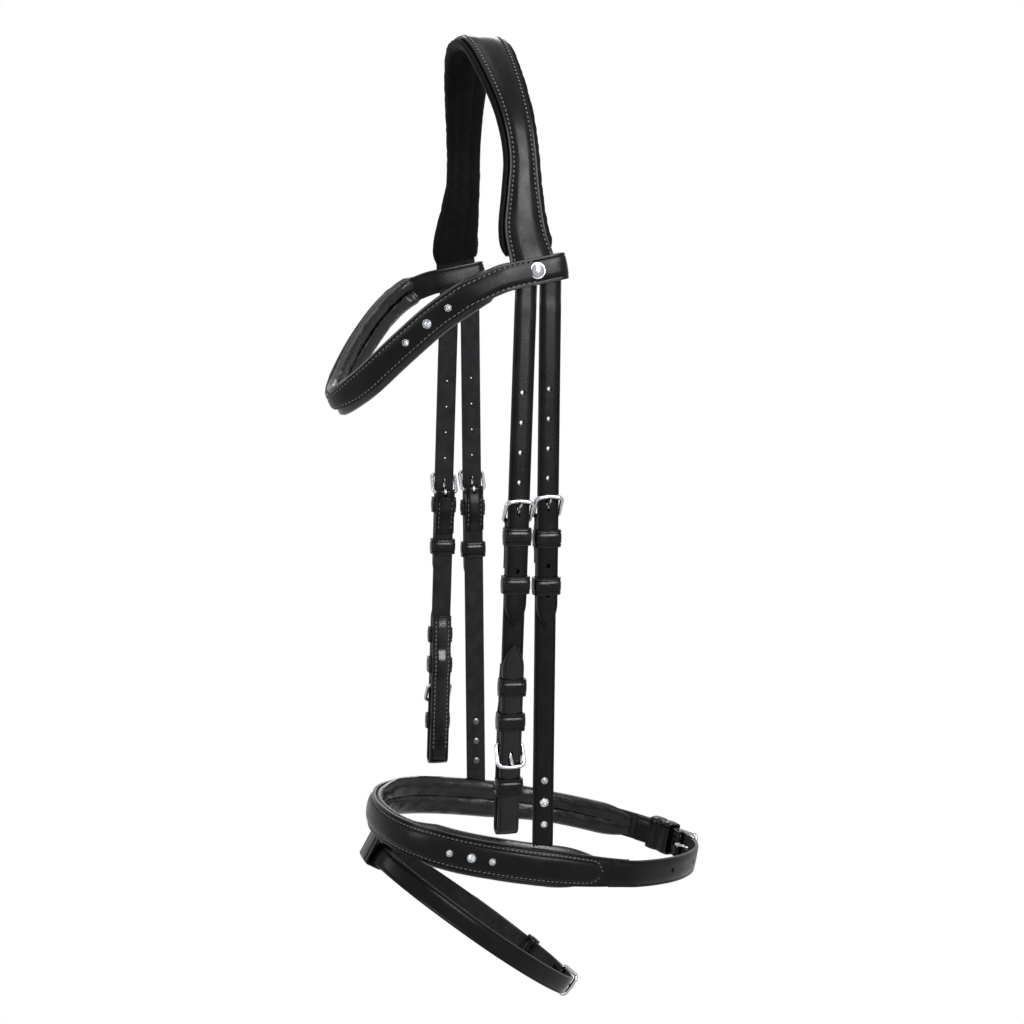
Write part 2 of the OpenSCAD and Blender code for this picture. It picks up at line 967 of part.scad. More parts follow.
nose_stone_y = [for (k = [0 : 2]) -0.62 * nose_front + 13 * k];

module on_nose(k) {
  nose_place()
    on_band(crossing(nose_loop, nose_stone_y[k], 0, 3 * nose_n), nose_up, overlay_t + 0.05)
      children();
}

module noseband_settings() {
  color(chrome)
    for (side = [near, far])
      on_side(side)
        for (k = [0 : 2])
          on_nose(k)
            cup(k == 1 ? stone_big : stone_small);
}

module noseband_stones() {
  color(crystal)
    for (side = [near, far])
      on_side(side)
        for (k = [0 : 2])
          on_nose(k)
            stone(k == 1 ? stone_big : stone_small);
}

// The strap that is sewn to the near side and buckled over the far side
chin_holes = [13 * nose_n, 14 * nose_n, 15 * nose_n];

module chin_billet() {
  color(leather_black)
    difference() {
      nose_place()
        difference() {
          loop_band(nose_loop, 11 * nose_n - 2, 17 * nose_n - 2, 0.2, 0.2 + strap_t, nose_rear_h / 2 - 0.4);
          for (i = chin_holes)
            on_band([nose_loop[i], run(nose_loop, i, true)], nose_up, 0)
              rotate([0, 90, 0])
                cylinder(h = 20, r = hole_r, center = true, $fn = 32);
        }
      chin_place()
        billet_slot();
    }
}

module chin_buckle() {
  color(chrome)
    chin_place()
      buckle_frame(nose_rear_h);
}

module chin_tongue() {
  color(chrome)
    chin_place()
      buckle_tongue();
}

module chin_keepers() {
  color(leather_black)
    for (i = [11 * nose_n + 1, 12 * nose_n - 2])
      nose_place()
        on_band([nose_loop[i], run(nose_loop, i, true)], nose_up, 0)
          rotate([90, 0, 0])
            keeper(nose_rear_h, -strap_t - ply_gap - fold_t, strap_t + 0.2, keeper_gap + 0.3, keeper_h - 2);
}

// ---- Flash: a loop under the noseband's front and the strap through it ----

flash_y = -nose_front * 0.995 + 5;
flash_z = -nose_h / 2 - 11;
flash_shape = [[-0.42, 0.035], [-0.80, 0.19], [-1, 0.45], [-0.90, 0.70], [-0.58, 0.90], [-0.22, 0.985],
  [0.22, 0.985], [0.58, 0.90], [0.90, 0.70], [1, 0.45], [0.80, 0.19], [0.42, 0.035], [0, 0]];
flash_n = 6;
flash_path = spline([for (p = flash_shape) [p[0] * flash_x, p[1] * flash_l, 0]], flash_n, true);
flash_heel = flash_path[5 * flash_n + 2];

module flash_place() {
  nose_place()
    translate([0, flash_y, flash_z])
      rotate([nose_slope - flash_slope, 0, 0])
        children();
}

module flash_heel_place() {
  flash_place()
    translate(flash_heel)
      rotate([90, 0, 90])
        children();
}

flash_loop_w = 20;
flash_loop_in = [10.4, 18];
flash_loop_t = 1.8;

module flash_loop() {
  color(leather_black)
    nose_place()
      translate([-flash_loop_w / 2, flash_y + 1.7, flash_z])
        rotate([90, 0, 90])
          rotate([0, 0, nose_slope - 30])
            linear_extrude(flash_loop_w)
              difference() {
                square([flash_loop_in[0] + 2 * flash_loop_t, flash_loop_in[1] + 2 * flash_loop_t], center = true);
                square(flash_loop_in, center = true);
              }
}

// The strap's tail lies outside its own buckled end, which is set in by one ply
flash_tail = 2.4 * flash_n;
flash_turns = len(flash_path) + 5 * flash_n + 1;

module flash_strap() {
  idx = [for (i = [flash_tail : flash_turns]) i];
  path = [for (i = idx)
    let (k = i % len(flash_path))
    let (set_in = min(1, max(0, (i - len(flash_path)) / (2 * flash_n))))
    flash_path[k] + cross(nose_up, run(flash_path, k, true)) * core_n * set_in];
  tip = [for (i = [0 : len(path) - 1]) [flash_w / 2 * (i == 0 ? 0.3 : i == 1 ? 0.85 : 1), 1]];
  color(leather_black) {
    difference() {
      flash_place()
        sweep(path, nose_up,
          [[-1, -strap_t / 2], [1, -strap_t / 2], [1, strap_t / 2], [-1, strap_t / 2]], tip);
      flash_heel_place() {
        heel_cut_inner();
        billet_slot();
      }
    }
    flash_heel_place()
      heel_turn(flash_w);
  }
}

// The bar and tongue cut, kept to the inner ply
module heel_cut_inner() {
  intersection() {
    heel_cut();
    translate([-20, -20, -20])
      cube([20 - strap_t / 2 - ply_gap / 2, 40, 40]);
  }
}

module flash_buckle() {
  color(chrome)
    flash_heel_place()
      buckle_frame(flash_w);
}

module flash_tongue() {
  color(chrome)
    flash_heel_place()
      buckle_tongue();
}

module flash_keeper() {
  i = 4 * flash_n - 1;
  color(leather_black)
    flash_place()
      on_band([flash_path[i], run(flash_path, i, true)], nose_up, 0)
        rotate([90, 0, 0])
          keeper(flash_w, core_n - strap_t / 2, strap_t / 2, keeper_gap + 0.2, keeper_h - 1.6);
}

crown_leather();
crown_padding();
browband_leather();
near_browband_loop();
far_browband_loop();
browband_padding();
browband_settings();
browband_stones();
browband_studs();
near_cheek_billet();
near_cheek_strap();
near_cheek_buckle();
near_cheek_tongue();
near_cheek_keeper();
near_cheek_runner();
near_bit_billet();
near_bit_buckle();
near_bit_tongue();
near_bit_keepers();
far_cheek_billet();
far_cheek_strap();
far_cheek_buckle();
far_cheek_tongue();
far_cheek_keeper();
far_cheek_runner();
far_bit_billet();
far_bit_buckle();
far_bit_tongue();
far_bit_keepers();
near_hanger_billet();
near_hanger_strap();
near_hanger_buckle();
near_hanger_tongue();
near_hanger_keeper();
near_hanger_runner();
near_hanger_settings();
near_hanger_stones();
far_hanger_billet();
far_hanger_strap();
far_hanger_buckle();
far_hanger_tongue();
far_hanger_keeper();
far_hanger_runner();
far_hanger_settings();
far_hanger_stones();
noseband_leather();
noseband_overlay();
noseband_padding();
noseband_settings();
noseband_stones();
chin_billet();
chin_buckle();
chin_tongue();
chin_keepers();
flash_loop();
flash_strap();
flash_buckle();
flash_tongue();
flash_keeper();
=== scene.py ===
"""Black snaffle bridle with a padded crown, a shaped browband and a flash noseband.

The saddler's parts are built one class at a time: leather straps with creased and stained edges,
stuffed linings, polished buckles, keepers, thread and set stones.
"""

import logging
import math
from collections.abc import Callable, Sequence
from dataclasses import dataclass, field
from enum import Enum

import bmesh
import bpy
import numpy as np
from mathutils import Matrix, Vector, noise


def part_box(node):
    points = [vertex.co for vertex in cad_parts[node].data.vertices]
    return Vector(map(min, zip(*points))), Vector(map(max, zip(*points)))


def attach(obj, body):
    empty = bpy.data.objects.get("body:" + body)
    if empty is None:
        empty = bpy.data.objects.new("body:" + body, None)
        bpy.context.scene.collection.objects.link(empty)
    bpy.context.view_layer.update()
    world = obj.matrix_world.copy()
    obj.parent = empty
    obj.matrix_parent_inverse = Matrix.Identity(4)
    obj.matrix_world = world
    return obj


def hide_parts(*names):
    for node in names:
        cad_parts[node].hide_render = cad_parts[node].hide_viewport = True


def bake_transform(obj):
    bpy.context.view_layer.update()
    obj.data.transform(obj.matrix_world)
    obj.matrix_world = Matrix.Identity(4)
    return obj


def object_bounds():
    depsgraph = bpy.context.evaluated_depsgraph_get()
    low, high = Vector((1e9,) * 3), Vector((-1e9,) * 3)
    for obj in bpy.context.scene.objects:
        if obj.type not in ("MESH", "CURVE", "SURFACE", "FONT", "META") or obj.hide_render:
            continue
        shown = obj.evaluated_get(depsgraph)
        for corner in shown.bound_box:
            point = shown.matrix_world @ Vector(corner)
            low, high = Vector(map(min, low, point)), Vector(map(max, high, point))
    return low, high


MM = 0.001
LOG = logging.getLogger("bridle")

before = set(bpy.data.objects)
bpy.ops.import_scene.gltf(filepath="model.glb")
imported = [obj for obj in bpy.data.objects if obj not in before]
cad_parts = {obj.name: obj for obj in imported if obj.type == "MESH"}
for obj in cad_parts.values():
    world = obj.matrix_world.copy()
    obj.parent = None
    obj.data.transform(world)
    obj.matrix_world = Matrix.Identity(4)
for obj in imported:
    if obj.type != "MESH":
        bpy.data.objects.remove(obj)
cad_low, cad_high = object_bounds()


class Hand(Enum):
    """Side of the horse that a strap hangs on; the value is the sign of X."""

    NEAR = 1
    FAR = -1

    @property
    def word(self) -> str:
        """Name used in the frame's nodes and bodies."""
        return self.name.lower()


class Face(Enum):
    """Which side of a leather strap a face belongs to; the value is its material index."""

    GRAIN = 0
    FLESH = 1
    EDGE = 2


# ---------------------------------------------------------------- finishes


def linear(code: str) -> tuple[float, float, float, float]:
    """Turns an sRGB hex colour to linear light.

    Args:
        code: Colour such as "#1a1a1c".

    Returns:
        Red, green, blue and alpha.
    """
    parts = [int(code[i : i + 2], 16) / 255 for i in (1, 3, 5)]
    red, green, blue = (p / 12.92 if p <= 0.04045 else ((p + 0.055) / 1.055) ** 2.4 for p in parts)
    return red, green, blue, 1.0


def add_node(
    tree: bpy.types.NodeTree,
    kind: str,
    settings: dict[str | int, object] | None = None,
    links: dict[str | int, bpy.types.NodeSocket] | None = None,
) -> bpy.types.Node:
    """Adds a shader node with its settings and links.

    Args:
        tree: Node tree that takes the node.
        kind: Blender's type name of the node.
        settings: Attribute names, or input names and numbers, with their values.
        links: Input names or numbers with the sockets that feed them.

    Returns:
        The new node.
    """
    made = tree.nodes.new(kind)
    for key, value in (settings or {}).items():
        if isinstance(key, str) and hasattr(made, key):
            setattr(made, key, value)
        else:
            made.inputs[key].default_value = value
    for key, source in (links or {}).items():
        tree.links.new(source, made.inputs[key])
    return made


Socket = bpy.types.NodeSocket


class Skin:
    """A material in the making: patterns sized in mm on Object coordinates feed one shader."""

    def __init__(self, name: str) -> None:
        """Starts an empty material of this name."""
        material = bpy.data.materials.new(name)
        material.use_nodes = True
        self.tree = material.node_tree
        self.tree.nodes.clear()
        self.shader = add_node(self.tree, "ShaderNodeBsdfPrincipled")
        add_node(self.tree, "ShaderNodeOutputMaterial", links={"Surface": self.shader.outputs["BSDF"]})
        self.place = add_node(self.tree, "ShaderNodeTexCoord").outputs["Object"]

    def cloud(self, size_mm: float, detail: float, rough: float = 0.5, distortion: float = 0.0) -> Socket:
        """Returns a noise pattern of this size."""
        settings = {"Scale": 1 / (size_mm * MM), "Detail": detail, "Roughness": rough, "Distortion": distortion}
        return add_node(self.tree, "ShaderNodeTexNoise", settings, {"Vector": self.place}).outputs["Fac"]

    def pebble(self, size_mm: float) -> Socket:
        """Returns a cell pattern of this size."""
        settings = {"Scale": 1 / (size_mm * MM)}
        return add_node(self.tree, "ShaderNodeTexVoronoi", settings, {"Vector": self.place}).outputs["Distance"]

    def add(self, first: Socket, share: float, second: Socket) -> Socket:
        """Returns a share of the first pattern plus the second."""
        settings = {"operation": "MULTIPLY_ADD", 1: share}
        return add_node(self.tree, "ShaderNodeMath", settings, {0: first, 2: second}).outputs["Value"]

    def colour(self, pattern: Socket, *stops: tuple[float, str]) -> None:
        """Colours the base through a ramp of places and hex colours."""
        made = add_node(self.tree, "ShaderNodeValToRGB", links={"Fac": pattern})
        elements = made.color_ramp.elements
        while len(elements) < len(stops):
            elements.new(0.5)
        for element, (place, code) in zip(elements, stops):
            element.position = place
            element.color = linear(code)
        self.tree.links.new(made.outputs["Color"], self.shader.inputs["Base Color"])

    def bump(self, height: Socket, strength: float, depth_mm: float) -> None:
        """Raises the surface by a pattern."""
        settings = {"Strength": strength, "Distance": depth_mm * MM}
        made = add_node(self.tree, "ShaderNodeBump", settings, {"Height": height})
        self.tree.links.new(made.outputs["Normal"], self.shader.inputs["Normal"])

    def gloss(self, pattern: Socket, span: tuple[float, float], rough: tuple[float, float]) -> None:
        """Spreads the roughness over a pattern."""
        settings = {"From Min": span[0], "From Max": span[1], "To Min": rough[0], "To Max": rough[1]}
        made = add_node(self.tree, "ShaderNodeMapRange", settings, {"Value": pattern})
        self.tree.links.new(made.outputs["Result"], self.shader.inputs["Roughness"])

    def plain(self, **values: float) -> None:
        """Sets even values of the shader, named with _ for a space."""
        for key, value in values.items():
            self.shader.inputs[key.replace("_", " ")].default_value = value


@dataclass(frozen=True)
class Finish:
    """What every finish has: a name and a material made on the first call."""

    name: str

    def dress(self, skin: Skin) -> None:
        """Adds the finish's own patterns."""
        raise NotImplementedError

    def material(self) -> bpy.types.Material:
        """Returns the material, made on the first call."""
        if self.name not in bpy.data.materials:
            self.dress(Skin(self.name))
        return bpy.data.materials[self.name]


@dataclass(frozen=True)
class BridleLeather(Finish):
    """Vegetable-tanned cowhide, drum dyed black, the grain side hand-finished with wax.

    Wax gives a low broad sheen; the pores break it up, and handling leaves smoother and duller
    patches a few centimetres across.
    """

    deep: str = "#050506"
    worn: str = "#0c0c0d"
    roughness: float = 0.29
    pore_mm: float = 0.9  # real pores are 0.2 to 0.4 mm; drawn coarser so that they show
    pore_depth_mm: float = 0.06
    pull_mm: float = 14.0
    shine: float = 0.12

    def dress(self, skin: Skin) -> None:
        """Adds patchy colour, uneven sheen, pores and a slow pull in the hide."""
        patches = skin.cloud(self.pull_mm, 3.0, 0.55)
        skin.colour(patches, (0.3, self.deep), (0.75, self.worn))
        skin.gloss(patches, (0.3, 0.7), (self.roughness - 0.07, self.roughness + 0.09))
        grain = skin.add(skin.pebble(self.pore_mm), 1.0, skin.cloud(self.pore_mm * 2.4, 4.0, 0.65))
        skin.bump(grain, 0.55, self.pore_depth_mm)
        skin.plain(Specular_IOR_Level=self.shine)


@dataclass(frozen=True)
class FleshSide(Finish):
    """The back of the same hide, shaved and glazed: short flattened fibres, dull charcoal black."""

    deep: str = "#121213"
    pale: str = "#232325"
    fibre_mm: float = 0.7  # fibres are about 0.1 mm; drawn coarser so that they show

    def dress(self, skin: Skin) -> None:
        """Adds fibre nap and cloudy dye."""
        skin.colour(skin.cloud(9, 4.0, 0.7), (0.3, self.deep), (0.72, self.pale))
        skin.bump(skin.cloud(self.fibre_mm, 3.0, 0.8, 1.2), 0.6, 0.12)
        skin.plain(Roughness=0.82, Specular_IOR_Level=0.1, Sheen_Weight=0.03, Sheen_Roughness=0.5)


@dataclass(frozen=True)
class StainedEdge(Finish):
    """A cut strap edge, bevelled, stained and slicked with a wooden tool: darker and glassier than the face."""

    shade: str = "#050506"

    def dress(self, skin: Skin) -> None:
        """Adds the faint layering that slicking leaves; its tone is darker in the hollows of the same pattern's bump,
        which is painted shade.
        """
        layers = skin.cloud(1.6, 3.0, 0.6)
        # partly real tone of the slicked layers, partly painted shade where the same pattern sinks the surface
        skin.colour(layers, (0.3, self.shade), (0.8, "#0f0f10"))
        skin.bump(layers, 0.4, 0.08)
        skin.plain(Roughness=0.33, Specular_IOR_Level=0.18)


@dataclass(frozen=True)
class LiningLeather(Finish):
    """Soft chrome-tanned calf over a foam core: closely creased, sheen from matt to half gloss; the colour is darker in
    the crease hollows as painted shade.
    """

    deep: str = "#040404"
    pale: str = "#0b0b0c"
    roughness: float = 0.5
    crease_mm: float = 2.6
    shine: float = 0.12
    nap: float = 0.0

    def dress(self, skin: Skin) -> None:
        """Adds crease folds with painted shade darkening their hollows, pebble grain and uneven sheen."""
        creases_and_shade = skin.cloud(self.crease_mm, 5.0, 0.6, 0.9)
        # painted shade: the crease pattern that sinks the surface also darkens the colour there
        skin.colour(creases_and_shade, (0.35, self.deep), (0.7, self.pale))
        skin.bump(skin.add(skin.pebble(0.8), 0.35, creases_and_shade), 0.6, 0.25)
        skin.plain(Roughness=self.roughness, Specular_IOR_Level=self.shine, Sheen_Weight=self.nap, Sheen_Roughness=0.6)


@dataclass(frozen=True)
class WaxedThread(Finish):
    """Twisted polyester thread, black, waxed; its colour is painted grey as a painted highlight, standing in for the
    small glint that each stitch catches.
    """

    # painted highlight: grey, though the thread is black
    shade: str = "#5c5c61"

    def dress(self, skin: Skin) -> None:
        """Adds the twisted strands as a bump, painted lighter where they rise and darker between them as painted
        highlight and painted shade.
        """
        twist_and_painted_glint = skin.cloud(0.45, 2.0)
        # painted highlight on the raised strands, painted shade in the grooves between them
        skin.colour(twist_and_painted_glint, (0.3, "#2c2c2f"), (0.7, self.shade))
        skin.bump(twist_and_painted_glint, 0.5, 0.08)
        skin.plain(Roughness=0.36)


@dataclass(frozen=True)
class PolishedChrome(Finish):
    """Nickel-chrome plate over a brass casting, buffed: sharp reflections with fine wiping scratches."""

    shade: str = "#a9abaf"
    roughness: float = 0.14

    def dress(self, skin: Skin) -> None:
        """Adds fine scratches and handling marks."""
        marks = skin.cloud(3, 6.0, 0.7)
        skin.gloss(marks, (0.3, 0.75), (self.roughness - 0.04, self.roughness + 0.1))
        skin.bump(marks, 0.12, 0.05)
        skin.plain(Base_Color=linear(self.shade), Metallic=1.0)


@dataclass(frozen=True)
class CutCrystal(Finish):
    """Machine-cut lead crystal on silver foil; its colour is painted in bright, grey and dark cells as painted
    reflections of the facets.
    """

    def dress(self, skin: Skin) -> None:
        """Paints white, grey and dark cells into the base colour as painted reflections, standing in for the light that
        the foil returns behind clear glass.
        """
        # painted reflections: white, grey and dark cells in the base colour stand in for the facets' sparkle
        skin.colour(skin.pebble(1.3), (0.1, "#ffffff"), (0.5, "#c3c8ce"), (0.85, "#5f646b"))
        skin.plain(Metallic=0.35, Roughness=0.04, Coat_Weight=1.0, Coat_IOR=1.6)


OUTER = BridleLeather("waxed_bridle_leather")
KEEPER_LEATHER = BridleLeather("keeper_leather", roughness=0.22, shine=0.16, pull_mm=8.0)
GLAZED = BridleLeather("glazed_inner_leather", roughness=0.22, shine=0.28, pore_mm=1.4, pore_depth_mm=0.1)
FLESH = FleshSide("flesh_side")
EDGE = StainedEdge("stained_edge")
CROWN_LINING = LiningLeather("crown_lining_calf", roughness=0.55, nap=0.01, shine=0.04, crease_mm=3.2)
ROLL_LINING = LiningLeather("rolled_lining_calf", roughness=0.24, shine=0.32, crease_mm=2.2)
THREAD = WaxedThread("waxed_thread")
CHROME = PolishedChrome("polished_chrome")
RIVET = PolishedChrome("rivet_nickel", shade="#5d5e61", roughness=0.3)
CRYSTAL = CutCrystal("cut_crystal")
STRAP_FACES: tuple[Finish, ...] = (OUTER, FLESH, EDGE)
LOOP_FACES: tuple[Finish, ...] = (KEEPER_LEATHER, FLESH, EDGE)


# ---------------------------------------------------------------- paths and sections


def curve_through(points: Sequence[Vector], steps: int, closed: bool = False) -> list[Vector]:
    """Runs a smooth curve through points.

    Args:
        points: Points on the curve.
        steps: Pieces between two points.
        closed: Whether the last point joins the first.

    Returns:
        Points along the curve.
    """
    count = len(points)

    def at(i: int) -> Vector:
        if closed:
            return points[i % count]
        if i < 0:
            return 2 * points[0] - points[1]
        if i > count - 1:
            return 2 * points[-1] - points[-2]
        return points[i]

    out: list[Vector] = []
    for i in range(count if closed else count - 1):
        a, b, c, d = at(i - 1), at(i), at(i + 1), at(i + 2)
        for k in range(steps):
            t = k / steps
            out.append(
                0.5 * (2 * b + (c - a) * t + (2 * a - 5 * b + 4 * c - d) * t * t + (3 * b - a - 3 * c + d) * t**3)
            )
    if not closed:
        out.append(points[-1].copy())
    return out


def lengths(points: Sequence[Vector]) -> list[float]:
    """Returns the distance along a line of points at each of them."""
    out = [0.0]
    for a, b in zip(points, points[1:]):
        out.append(out[-1] + (b - a).length)
    return out


def spaced(points: Sequence[Vector], step: float) -> list[Vector]:
    """Puts points at even distances along a line.

    Args:
        points: The line.
        step: Distance wanted, in mm.

    Returns:
        New points from the line's first to its last.
    """
    along = lengths(points)
    count = max(2, round(along[-1] / step) + 1)
    wanted = np.linspace(0, along[-1], count)
    axes = [np.interp(wanted, along, [p[k] for p in points]) for k in range(3)]
    return [Vector(p) for p in zip(*axes)]


@dataclass
class Station:
    """Where one cross-section stands: centre, width direction, outward direction, in mm."""

    centre: Vector
    wide: Vector
    out: Vector
    half: float
    thick: float
    along: float = 0.0


def stand(
    points: Sequence[Vector],
    up: Vector | Callable[[int], Vector],
    half: float | Callable[[int], float],
    thick: float | Callable[[int], float],
    closed: bool = False,
) -> list[Station]:
    """Stands cross-sections along a line.

    Args:
        points: The line.
        up: Width direction, one for all or one for each point.
        half: Half width in mm.
        thick: Thickness in mm.
        closed: Whether the line is a loop.

    Returns:
        One station for each point.
    """
    count = len(points)
    along = lengths(points)
    out: list[Station] = []
    for i, p in enumerate(points):
        before = points[(i - 1) % count] if closed or i else points[0]
        after = points[(i + 1) % count] if closed or i < count - 1 else points[-1]
        run = (after - before).normalized()
        u = up(i) if callable(up) else up
        wide = (u - u.dot(run) * run).normalized()
        out.append(
            Station(
                p,
                wide,
                wide.cross(run),
                half(i) if callable(half) else half,
                thick(i) if callable(thick) else thick,
                along[i],
            )
        )
    return out


SectionPoint = tuple[float, float, float, Face]


@dataclass(frozen=True)
class LeatherSection:
    """Cross-section of a strap: crowned face, creased lines beside the edges, rounded edges."""

    edge_round: float = 0.7
    crease: float = 1.8
    crease_depth: float = 0.38
    crown: float = 0.25
    seam: float = 0.0
    seam_depth: float = 0.3

    def columns(self, half: float) -> list[tuple[float, float]]:
        """Distances from the edge across half of the face, with how deep the face is pressed there."""
        rows = [(self.edge_round, 0.12)]
        if self.crease:
            rows += [(self.crease - 0.45, 0.0), (self.crease, self.crease_depth), (self.crease + 0.45, 0.0)]
        if self.seam:
            rows += [(self.seam - 0.55, 0.0), (self.seam, self.seam_depth), (self.seam + 0.55, 0.0)]
        rows.sort()
        room = max(rows[-1][0] * 1.25, 1e-6)
        squeeze = min(1.0, half / room)
        return [(edge * squeeze, depth * squeeze) for edge, depth in rows]

    def ring(self, half: float, thick: float) -> list[SectionPoint]:
        """Goes once round the section.

        Args:
            half: Half width in mm.
            thick: Thickness in mm.

        Returns:
            Distance across, distance outward, distance from the edge and kind of face.
        """
        half_t = thick / 2
        rows = self.columns(half)
        points: list[SectionPoint] = []

        def face(across: float, edge: float, depth: float) -> SectionPoint:
            swell = self.crown * (1 - (across / half) ** 2) if half > 0 else 0.0
            return across, half_t + swell - self.crown * 0.5 - depth, edge, Face.GRAIN

        points += [face(-(half - e), e, d) for e, d in rows]
        points.append(face(-(half - rows[-1][0]) * 0.45, half * 0.6, 0))
        points.append(face(0.0, half, 0))
        points.append(face((half - rows[-1][0]) * 0.45, half * 0.6, 0))
        points += [face(half - e, e, d) for e, d in reversed(rows)]
        r = rows[0][0]
        arc = [(half - r + r * math.cos(a), half_t * math.sin(a)) for a in (math.radians(v) for v in (52, 18, -18, -52))]
        points += [(x, y, 0.0, Face.EDGE) for x, y in arc]
        under = -half_t + 0.05
        points += [(k * (half - r), under, half * (1 - abs(k)), Face.FLESH) for k in (1, 0.5, 0, -0.5, -1)]
        points += [(-x, y, 0.0, Face.EDGE) for x, y in reversed(arc)]
        return points


def loft(
    stations: Sequence[Station],
    ring_of: Callable[[Station, int], list[SectionPoint]],
    closed: bool = False,
) -> bmesh.types.BMesh:
    """Skins a line of cross-sections from one grid that is rolled up along the path.

    Args:
        stations: Places of the cross-sections.
        ring_of: Gives the section's points at a station.
        closed: Whether the path is a loop.

    Returns:
        A closed mesh in mm, with material indices and a UV map of (length, edge distance) in metres.
    """
    rings = [ring_of(s, i) for i, s in enumerate(stations)]
    rows, cols = len(stations), len(rings[0])
    bm = bmesh.new()
    grid_rows = rows if closed else rows - 1
    bmesh.ops.create_grid(bm, x_segments=cols, y_segments=grid_rows, size=1.0)
    cells = {v: (round((v.co.x + 1) / 2 * cols), round((v.co.y + 1) / 2 * grid_rows)) for v in bm.verts}
    uv = bm.loops.layers.uv.new("strap")
    last = lengths([s.centre for s in stations])[-1]
    for f in bm.faces:
        js = [cells[v][0] for v in f.verts]
        f.material_index = rings[0][min(js) % cols][3].value
        if rings[0][(min(js) + 1) % cols][3] is Face.EDGE:
            f.material_index = Face.EDGE.value
        f.smooth = True
        for corner in f.loops:
            j, i = cells[corner.vert]
            along = last if closed and i == rows else stations[i % rows].along
            corner[uv].uv = (along * MM * 10, rings[i % rows][j % cols][2] * MM * 10)
    for v, (j, i) in cells.items():
        s = stations[i % rows]
        across, outward = rings[i % rows][j % cols][:2]
        v.co = s.centre + s.wide * across + s.out * outward
    bmesh.ops.remove_doubles(bm, verts=bm.verts, dist=0.002)
    if not closed:
        rim = [e for e in bm.edges if e.is_boundary]
        made = bmesh.ops.holes_fill(bm, edges=rim, sides=0)
        for f in made["faces"]:
            f.material_index = Face.EDGE.value
    bmesh.ops.recalc_face_normals(bm, faces=bm.faces)
    return bm


def tube_ring(wide: float, deep: float, sides: int = 12) -> Callable[[Station, int], list[SectionPoint]]:
    """Gives a round or oval section; the station's half width scales it."""

    def ring(station: Station, _: int) -> list[SectionPoint]:
        turn = [2 * math.pi * k / sides for k in range(sides)]
        return [
            (station.half * wide * math.cos(a), station.half * deep * math.sin(a), 0.0, Face.GRAIN) for a in turn
        ]

    return ring


def place_piece(
    bm: bmesh.types.BMesh,
    name: str,
    finishes: Sequence[Finish],
    body: str | None,
    stands_for: Sequence[str] = (),
    crisp: float = 48.0,
) -> bpy.types.Object:
    """Turns a mesh in mm into a finished piece of the bridle.

    Args:
        bm: Mesh in mm, freed here.
        name: Name of the piece.
        finishes: One finish for each material index.
        body: Body that carries it, or None for a piece without one.
        stands_for: Nodes of the frame that it takes the place of.
        crisp: Angle in degrees past which an edge is shaded sharp.

    Returns:
        The new object.
    """
    bmesh.ops.scale(bm, vec=Vector((MM, MM, MM)), verts=bm.verts)
    mesh = bpy.data.meshes.new(name)
    bm.to_mesh(mesh)
    bm.free()
    for finish in finishes:
        mesh.materials.append(finish.material())
    mesh.polygons.foreach_set("use_smooth", [True] * len(mesh.polygons))
    mesh.set_sharp_from_angle(angle=math.radians(crisp))
    piece = bpy.data.objects.new(name, mesh)
    bpy.context.scene.collection.objects.link(piece)
    if body:
        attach(piece, body)
    if stands_for:
        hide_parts(*stands_for)
    LOG.info("%s: %d faces", name, len(mesh.polygons))
    return piece


def join(parts: Sequence[bmesh.types.BMesh]) -> bmesh.types.BMesh:
    """Puts several meshes into the first one and frees the others."""
    first = parts[0]
    for part in parts[1:]:
        scratch = bpy.data.meshes.new("scratch")
        part.to_mesh(scratch)
        part.free()
        first.from_mesh(scratch)
        bpy.data.meshes.remove(scratch)
    return first


def moved(bm: bmesh.types.BMesh, matrix: Matrix) -> bmesh.types.BMesh:
    """Moves a mesh by a matrix; a mirror keeps its faces outward."""
    bmesh.ops.transform(bm, matrix=matrix, verts=bm.verts)
    if matrix.determinant() < 0:
        bmesh.ops.recalc_face_normals(bm, faces=bm.faces)
    return bm


def punch(bm: bmesh.types.BMesh, cutters: Sequence[bmesh.types.BMesh]) -> bmesh.types.BMesh:
    """Cuts holes and slots out of a closed mesh.

    Args:
        bm: The strap, freed here.
        cutters: Closed cutters in the same place, freed here.

    Returns:
        The cut strap; the walls of the holes have the edge finish.
    """
    if not cutters:
        return bm
    tool = join(list(cutters))
    for f in tool.faces:
        f.material_index = Face.EDGE.value
    objects = []
    for part in (bm, tool):
        mesh = bpy.data.meshes.new("scratch")
        part.to_mesh(mesh)
        part.free()
        for _ in Face:
            mesh.materials.append(None)
        ob = bpy.data.objects.new("scratch", mesh)
        bpy.context.scene.collection.objects.link(ob)
        objects.append(ob)
    strap, cutter = objects
    cut = strap.modifiers.new("punch", "BOOLEAN")
    cut.operation, cut.solver, cut.object = "DIFFERENCE", "EXACT", cutter
    graph = bpy.context.evaluated_depsgraph_get()
    result = bmesh.new()
    result.from_mesh(strap.evaluated_get(graph).to_mesh())
    for ob in objects:
        mesh = ob.data
        bpy.data.objects.remove(ob)
        bpy.data.meshes.remove(mesh)
    return result


# ---------------------------------------------------------------- tools of the bench


